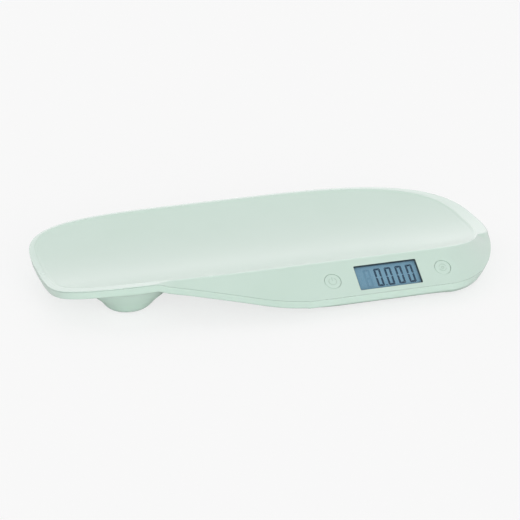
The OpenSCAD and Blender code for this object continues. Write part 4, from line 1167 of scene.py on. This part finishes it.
def screwTree():
    # Head with a soft top edge and a cross recess, shank with a wound thread and a point
    t = Tree("crossScrew", [("Head Radius", "Float", 0.0028), ("Head Height", "Float", 0.0022),
                            ("Shank Radius", "Float", 0.0015), ("Shank Length", "Float", 0.0047),
                            ("Thread Pitch", "Float", 0.0008), ("Material", "Material", None)])
    g = t.given
    headR, headT, shankR, shankL = g["Head Radius"], g["Head Height"], g["Shank Radius"], g["Shank Length"]
    mesh = t.node("GeometryNodeMeshCircle", {"Vertices": 36, "Radius": headR}, fill_type="NGON")
    top = True
    for lift, grow in ((0.62, 1.0), (0.2, 0.95), (0.18, 0.84)):
        rise = t.made("GeometryNodeExtrudeMesh", {"Mesh": mesh, "Selection": top, "Individual": False,
                                                  "Offset Scale": t.times(headT, lift)}, mode="FACES")
        top = rise.outputs["Top"]
        mesh = t.node("GeometryNodeScaleElements", {"Geometry": rise.outputs["Mesh"], "Selection": top,
                                                    "Scale": grow})
    arm = t.node("GeometryNodeMeshCube", {"Size": t.vector(t.times(headR, 1.15), t.times(headR, 0.3),
                                                           t.times(headT, 1.1))})
    cross = t.moved(t.joined(arm, t.moved(arm, turn=(0, 0, math.pi / 2))), by=t.vector(z=headT))
    head = t.node("GeometryNodeMeshBoolean", {"Mesh 1": mesh, "Mesh 2": cross, "Self Intersection": True},
                  operation="DIFFERENCE", solver="EXACT")
    core = t.times(shankR, 0.8)
    straight = t.maths("SUBTRACT", shankL, shankR)
    rod = t.node("GeometryNodeMeshCylinder", {"Vertices": 20, "Radius": core, "Depth": straight})
    rod = t.moved(rod, by=t.vector(z=t.times(straight, -0.5)))
    point = t.node("GeometryNodeMeshCone", {"Vertices": 20, "Radius Top": core, "Radius Bottom": 0.0002,
                                            "Depth": shankR})
    point = t.moved(point, by=t.vector(z=t.times(shankL, -1.0)))
    spiral = t.node("GeometryNodeCurveSpiral", {
        "Resolution": 14, "Rotations": t.maths("DIVIDE", straight, g["Thread Pitch"]), "Start Radius": core,
        "End Radius": core, "Height": t.times(straight, 0.94)})
    ridge = t.node("GeometryNodeCurvePrimitiveCircle", {"Resolution": 4, "Radius": t.times(shankR, 0.19)})
    thread = t.node("GeometryNodeCurveToMesh", {"Curve": spiral, "Profile Curve": ridge, "Fill Caps": True})
    thread = t.moved(thread, by=t.vector(z=t.times(straight, -0.97)))
    return t.finished(t.joined(head, rod, point, thread))


def springTree():
    # A tapering coil of wire that stands on a round plate
    t = Tree("batterySpring", [("Turns", "Float", 4.5), ("Base Radius", "Float", 0.0033),
                               ("Tip Radius", "Float", 0.0018), ("Height", "Float", 0.0062),
                               ("Wire Radius", "Float", 0.0004), ("Plate Radius", "Float", 0.0038),
                               ("Plate Height", "Float", 0.0004), ("Material", "Material", None)])
    g = t.given
    spiral = t.node("GeometryNodeCurveSpiral", {
        "Resolution": 28, "Rotations": g["Turns"], "Start Radius": g["Base Radius"],
        "End Radius": g["Tip Radius"], "Height": g["Height"]})
    wire = t.node("GeometryNodeCurvePrimitiveCircle", {"Resolution": 8, "Radius": g["Wire Radius"]})
    coil = t.node("GeometryNodeCurveToMesh", {"Curve": spiral, "Profile Curve": wire, "Fill Caps": True})
    coil = t.moved(coil, by=t.vector(z=t.maths("ADD", g["Plate Height"], g["Wire Radius"])))
    plate = t.node("GeometryNodeMeshCylinder", {"Vertices": 32, "Radius": g["Plate Radius"],
                                                "Depth": g["Plate Height"]})
    plate = t.moved(plate, by=t.vector(z=t.times(g["Plate Height"], 0.5)))
    return t.finished(t.joined(coil, plate))


def barTree():
    # A row of round-ended bars, each one longer than the last
    t = Tree("gripBars", [("Count", "Int", 4), ("Spacing", "Float", 0.002), ("Length", "Float", 0.009),
                          ("Grow", "Float", 0.002), ("Radius", "Float", 0.00045),
                          ("Material", "Material", None)])
    g = t.given
    line = t.node("GeometryNodeMeshLine", {"Count": g["Count"], "Offset": t.vector(x=g["Spacing"])})
    ball = t.node("GeometryNodeMeshUVSphere", {"Segments": 12, "Rings": 8, "Radius": g["Radius"]})
    rod = t.node("GeometryNodeMeshCylinder", {"Vertices": 12, "Radius": g["Radius"], "Depth": 1.0})
    rod = t.moved(rod, turn=(math.pi / 2, 0, 0))
    long = t.maths("ADD", g["Length"], t.times(t.node("GeometryNodeInputIndex"), g["Grow"]))
    parts = [t.node("GeometryNodeInstanceOnPoints", {"Points": line, "Instance": rod,
                                                     "Scale": t.vector(1.0, long, 1.0)})]
    for side in (-0.5, 0.5):
        ends = t.node("GeometryNodeSetPosition", {"Geometry": line,
                                                  "Offset": t.vector(y=t.times(long, side))})
        parts.append(t.node("GeometryNodeInstanceOnPoints", {"Points": ends, "Instance": ball}))
    return t.finished(t.node("GeometryNodeRealizeInstances", {"Geometry": t.joined(*parts)}))


screws, springs, bars = screwTree(), springTree(), barTree()
cellLow, cellHigh = [corner[2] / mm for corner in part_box("load_cell_front_left")]
cellT, holeAt = cellHigh - cellLow, cup["columnAt"]
# Each set of screws: where the heads sit, how they are turned, and the sizes of one screw
screwSets = {
    "shellScrews": {"node": "shell_screws", "turn": (180, 0, 0),
                    "spots": [(x, y, seatZ((x, y))) for x, y in screwSpots],
                    "head": 2.8, "headT": screw["headT"], "r": 1.5, "long": 4.7, "pitch": 0.9},
    "boardScrews": {"node": "board_screws", "turn": (180 + console["tilt"], 0, 0),
                    "spots": [tuple(onConsole([[x, y, -11.6]])[0]) for x, y in boardHoles],
                    "head": 1.9, "headT": 1.4, "r": 1.0, "long": 6.1, "pitch": 0.6},
    "cellScrews": {"node": "cell_screws", "turn": (0, 0, 0),
                   "spots": [(x + s, y + s, cellHigh) for x, y in feet for s in (-holeAt, holeAt)],
                   "head": 2.0, "headT": 1.4, "r": 1.0, "long": cellT + 4, "pitch": 0.6},
    "postScrews": {"node": "post_screws", "turn": (0, 0, 0),
                   "spots": [(x, y, cellHigh) for x, y in feet],
                   "head": 2.5, "headT": 1.8, "r": 1.25, "long": cellT + 6, "pitch": 0.7},
}
inputNames = {"Head Radius": "head", "Head Height": "headT", "Shank Radius": "r", "Shank Length": "long",
              "Thread Pitch": "pitch"}
for name, row in screwSets.items():
    piece = grown(screws, name, row["spots"], [row["turn"]] * len(row["spots"]),
                  {label: float(row[key]) for label, key in inputNames.items()}, finishes["screwSteel"], 35)
    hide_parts(row["node"])
    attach(piece, "scale_body")
print("stage: screws")

# Battery room: cells with their sleeves, wound springs, door with hinge barrel, latch and grip
cells = {"nub": 1.0, "pitch": 11.0, "steps": 40,
         "spring": {"Base Radius": 3.3, "Tip Radius": 1.8, "Height": 6.0, "Wire Radius": 0.36,
                    "Plate Radius": 3.8, "Plate Height": 0.4}}
door = {"low": 4.0, "latchX": 112.3, "gap": 0.3, "corner": 1.4, "barrelR": 0.9, "grooveR": 0.72, "pinR": 0.7,
        "knuckles": 6, "ribAt": 25, "ribL": 34, "ribT": 1, "gripAt": 10.6,
        "grip": {"Count": 4, "Spacing": 2.0, "Length": 9.0, "Grow": 2.0, "Radius": 0.5}}


def cellBox(k):
    low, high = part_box("battery_%d" % (k + 1))
    return np.array(low) / mm, np.array(high) / mm


def nubSideOf(k):
    # The end of the frame's cell whose corners keep close to its axis is the one with the nub
    low, high = cellBox(k)
    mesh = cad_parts["battery_%d" % (k + 1)].data
    points = np.array([v.co[:] for v in mesh.vertices]) / mm
    far = np.hypot(points[:, 1] - (low[1] + high[1]) / 2, points[:, 2] - (low[2] + high[2]) / 2)
    return 1 if far[points[:, 0] > high[0] - 0.1].max() < 3 else -1


cellSides = [nubSideOf(k) for k in range(3)]


def makeCell(k):
    low, high = cellBox(k)
    middle, side = (low + high) / 2, cellSides[k]
    r, top = (high[2] - low[2]) / 2, (high[0] - low[0]) / 2
    foot, nubLow = -top, top - cells["nub"]

    def place(points):
        return np.column_stack([middle[0] + side * points[:, 2], middle[1] + points[:, 0],
                                middle[2] + points[:, 1]])
    shape = Shape()
    shape.turnedOn([(0, foot + 0.25), (r - 1.1, foot + 0.25), (r - 0.9, foot + 0.12)], cells["steps"],
                   place=place)
    shape.turnedOn([(r - 0.8, nubLow), (r - 1.2, nubLow - 0.3), (3.0, nubLow - 0.3), (2.1, nubLow - 0.05),
                    (1.9, top - 0.25), (1.6, top), (0, top)], cells["steps"], place=place)
    metalFaces = len(shape.faces)
    shape.turnedOn([(r - 0.9, foot + 0.12), (r - 0.25, foot), (r, foot + 0.3), (r, nubLow - 0.5),
                    (r - 0.2, nubLow - 0.12), (r - 0.8, nubLow)], cells["steps"], place=place)
    shape.finishOf[metalFaces:] = [1] * (len(shape.faces) - metalFaces)
    piece = shape.piece("battery%d" % (k + 1), [finishes["contactSteel"], finishes["batterySkin"]], 35)
    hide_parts("battery_%d" % (k + 1))
    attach(piece, "scale_body")


for k in range(3):
    makeCell(k)
batteryZ = float((cellBox(0)[0][2] + cellBox(0)[1][2]) / 2)
# A spring stands on the wall behind the flat end of each cell
springSpots = [(box["x"] - side * box["roomL"] / 2, box["y"] + (k - 1) * cells["pitch"], batteryZ)
               for k, side in enumerate(cellSides)]
piece = grown(springs, "batterySprings", springSpots, [(0, 90 * side, 0) for side in cellSides],
              cells["spring"], finishes["contactSteel"], 40)
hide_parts("battery_springs")
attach(piece, "scale_body")


def makeDoor():
    wide = box["roomW"] + 2 * box["lip"]
    long = door["latchX"] - box["hingeX"]
    middle = (door["latchX"] + box["hingeX"]) / 2
    low, high = door["low"], door["low"] + box["doorT"]
    plate = [(0.9, low), (0.35, low + 0.08), (0.08, low + 0.35), (0, low + 0.8), (0, high - 0.3), (0.3, high)]
    shape = Shape()
    shape.loft([roundedBox(middle, box["y"], long - 2 * trim, wide - 2 * door["gap"] - 2 * trim,
                           door["corner"] - trim, z) for trim, z in plate], startCap=True, endCap=True)
    piece = shape.piece("batteryDoor", finishes["doorPlastic"])
    cutter = grown(bars, "gripCutter", [(door["latchX"] - door["gripAt"], box["y"], low - 0.05)], [(0, 0, 0)],
                   door["grip"], finishes["doorPlastic"])
    cutWith(piece, cutter, crossing=True)
    more = Shape()
    # The hinge barrel is grooved between its knuckles, with a thin pin at each end
    half, lip = wide / 2 + 1.3, wide / 2 - door["gap"]
    barrel, pin, groove = door["barrelR"], door["pinR"], door["grooveR"]
    profile = [(0, -half), (pin - 0.15, -half), (pin, -half + 0.15), (pin, -lip), (barrel, -lip)]
    for k in range(1, door["knuckles"]):
        y = -lip + 2 * lip * k / door["knuckles"]
        profile += [(barrel, y - 0.35), (groove, y - 0.25), (groove, y + 0.25), (barrel, y + 0.35)]
    profile += [(barrel, lip), (pin, lip), (pin, half - 0.15), (pin - 0.15, half), (0, half)]
    more.turnedOn(profile, 24, place=alongHinge)
    tab = [(0.25, low + 0.02), (0, low + 0.3), (0, low + box["tabT"] - 0.35), (0.35, low + box["tabT"])]
    more.loft([roundedBox(door["latchX"] + box["tabL"] / 2 - 0.5, box["y"], box["tabL"] + 1 - 2 * trim,
                          box["tabW"] - 2 * trim, 0.5 - trim / 2, z) for trim, z in tab],
              startCap=True, endCap=True)
    rib = [(0, high - 0.1), (0, high + 1.2), (0.2, high + 1.5)]
    for side in (-1, 1):
        more.loft([roundedBox(box["hingeX"] + door["ribAt"], box["y"] + side * cells["pitch"] / 2,
                              door["ribL"] - 2 * trim, door["ribT"] - 2 * trim, 0.3 - trim / 2, z)
                   for trim, z in rib], startCap=True, endCap=True)
    joinTo(piece, more.piece("doorParts", finishes["doorPlastic"]))
    finishShading(piece, 32, True)
    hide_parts("battery_door")
    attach(piece, "door")


makeDoor()
print("stage: battery room")

# Floor: pale, wide and plain, with the shadow of the scale on it
def makeFloor():
    mesh = bpy.data.meshes.new("studioFloor")
    far = studio["floorReach"]
    mesh.from_pydata([(-far, -far, 0), (far, -far, 0), (far, far, 0), (-far, far, 0)], [], [(0, 1, 2, 3)])
    floor = bpy.data.objects.new("studioFloor", mesh)
    scene.collection.objects.link(floor)
    material = bpy.data.materials.new("studioFloor")
    material.use_nodes = True
    tree = material.node_tree
    shader, surface = tree.nodes["Principled BSDF"], tree.nodes["Material Output"].inputs["Surface"]
    shader.inputs["Base Color"].default_value = (studio["floor"],) * 3 + (1,)
    shader.inputs["Roughness"].default_value = 1.0
    shader.inputs["Specular IOR Level"].default_value = 0.0
    # The camera sees part of the floor as a plain pale tone, and the rest keeps the shadow
    glow = tree.nodes.new("ShaderNodeEmission")
    glow.inputs["Color"].default_value = (studio["backdrop"],) * 3 + (1,)
    glow.inputs["Strength"].default_value = studio["floorGlow"] / studio["backdrop"]
    path = tree.nodes.new("ShaderNodeLightPath")
    share = tree.nodes.new("ShaderNodeMath")
    share.operation = "MULTIPLY"
    share.inputs[1].default_value = studio["floorShare"]
    both = tree.nodes.new("ShaderNodeMixShader")
    for source, target in ((path.outputs["Is Camera Ray"], share.inputs[0]),
                           (share.outputs[0], both.inputs["Fac"]), (shader.outputs[0], both.inputs[1]),
                           (glow.outputs[0], both.inputs[2]), (both.outputs[0], surface)):
        tree.links.new(source, target)
    mesh.materials.append(material)


makeFloor()
print("stage: floor")

# Frame nodes that keep their own shape get their finish here
nodeFinish = {
    "display_lens": "lensClear", "display_gasket": "foamBlack", "lcd_frame": "innerWhite",
    "lcd_backlight": "innerWhite", "zebra_strip_upper": "zebraRubber", "zebra_strip_lower": "zebraRubber",
    "main_board": "boardGreen", "board_controller": "chipBlack", "board_parts": "partCeramic",
    "lead_connector": "innerWhite", "left_switch": "innerBlack", "right_switch": "innerBlack",
    "left_switch_stem": "innerWhite", "right_switch_stem": "innerWhite", "strain_gauges": "gaugeFilm",
    "cell_lead_front_left": "leadRed", "cell_lead_rear_left": "leadBlack",
    "cell_lead_front_right": "leadBlue", "cell_lead_rear_right": "leadGreen", "power_lead": "leadRed",
    "battery_plates": "contactSteel",
}
for place in footNames:
    nodeFinish["load_cell_" + place] = "cellSteel"
    nodeFinish["foot_post_" + place] = "innerWhite"
for node, finish in nodeFinish.items():
    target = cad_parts[node]
    target.data.materials.clear()
    target.data.materials.append(finishes[finish])
print("stage: frame nodes dressed")
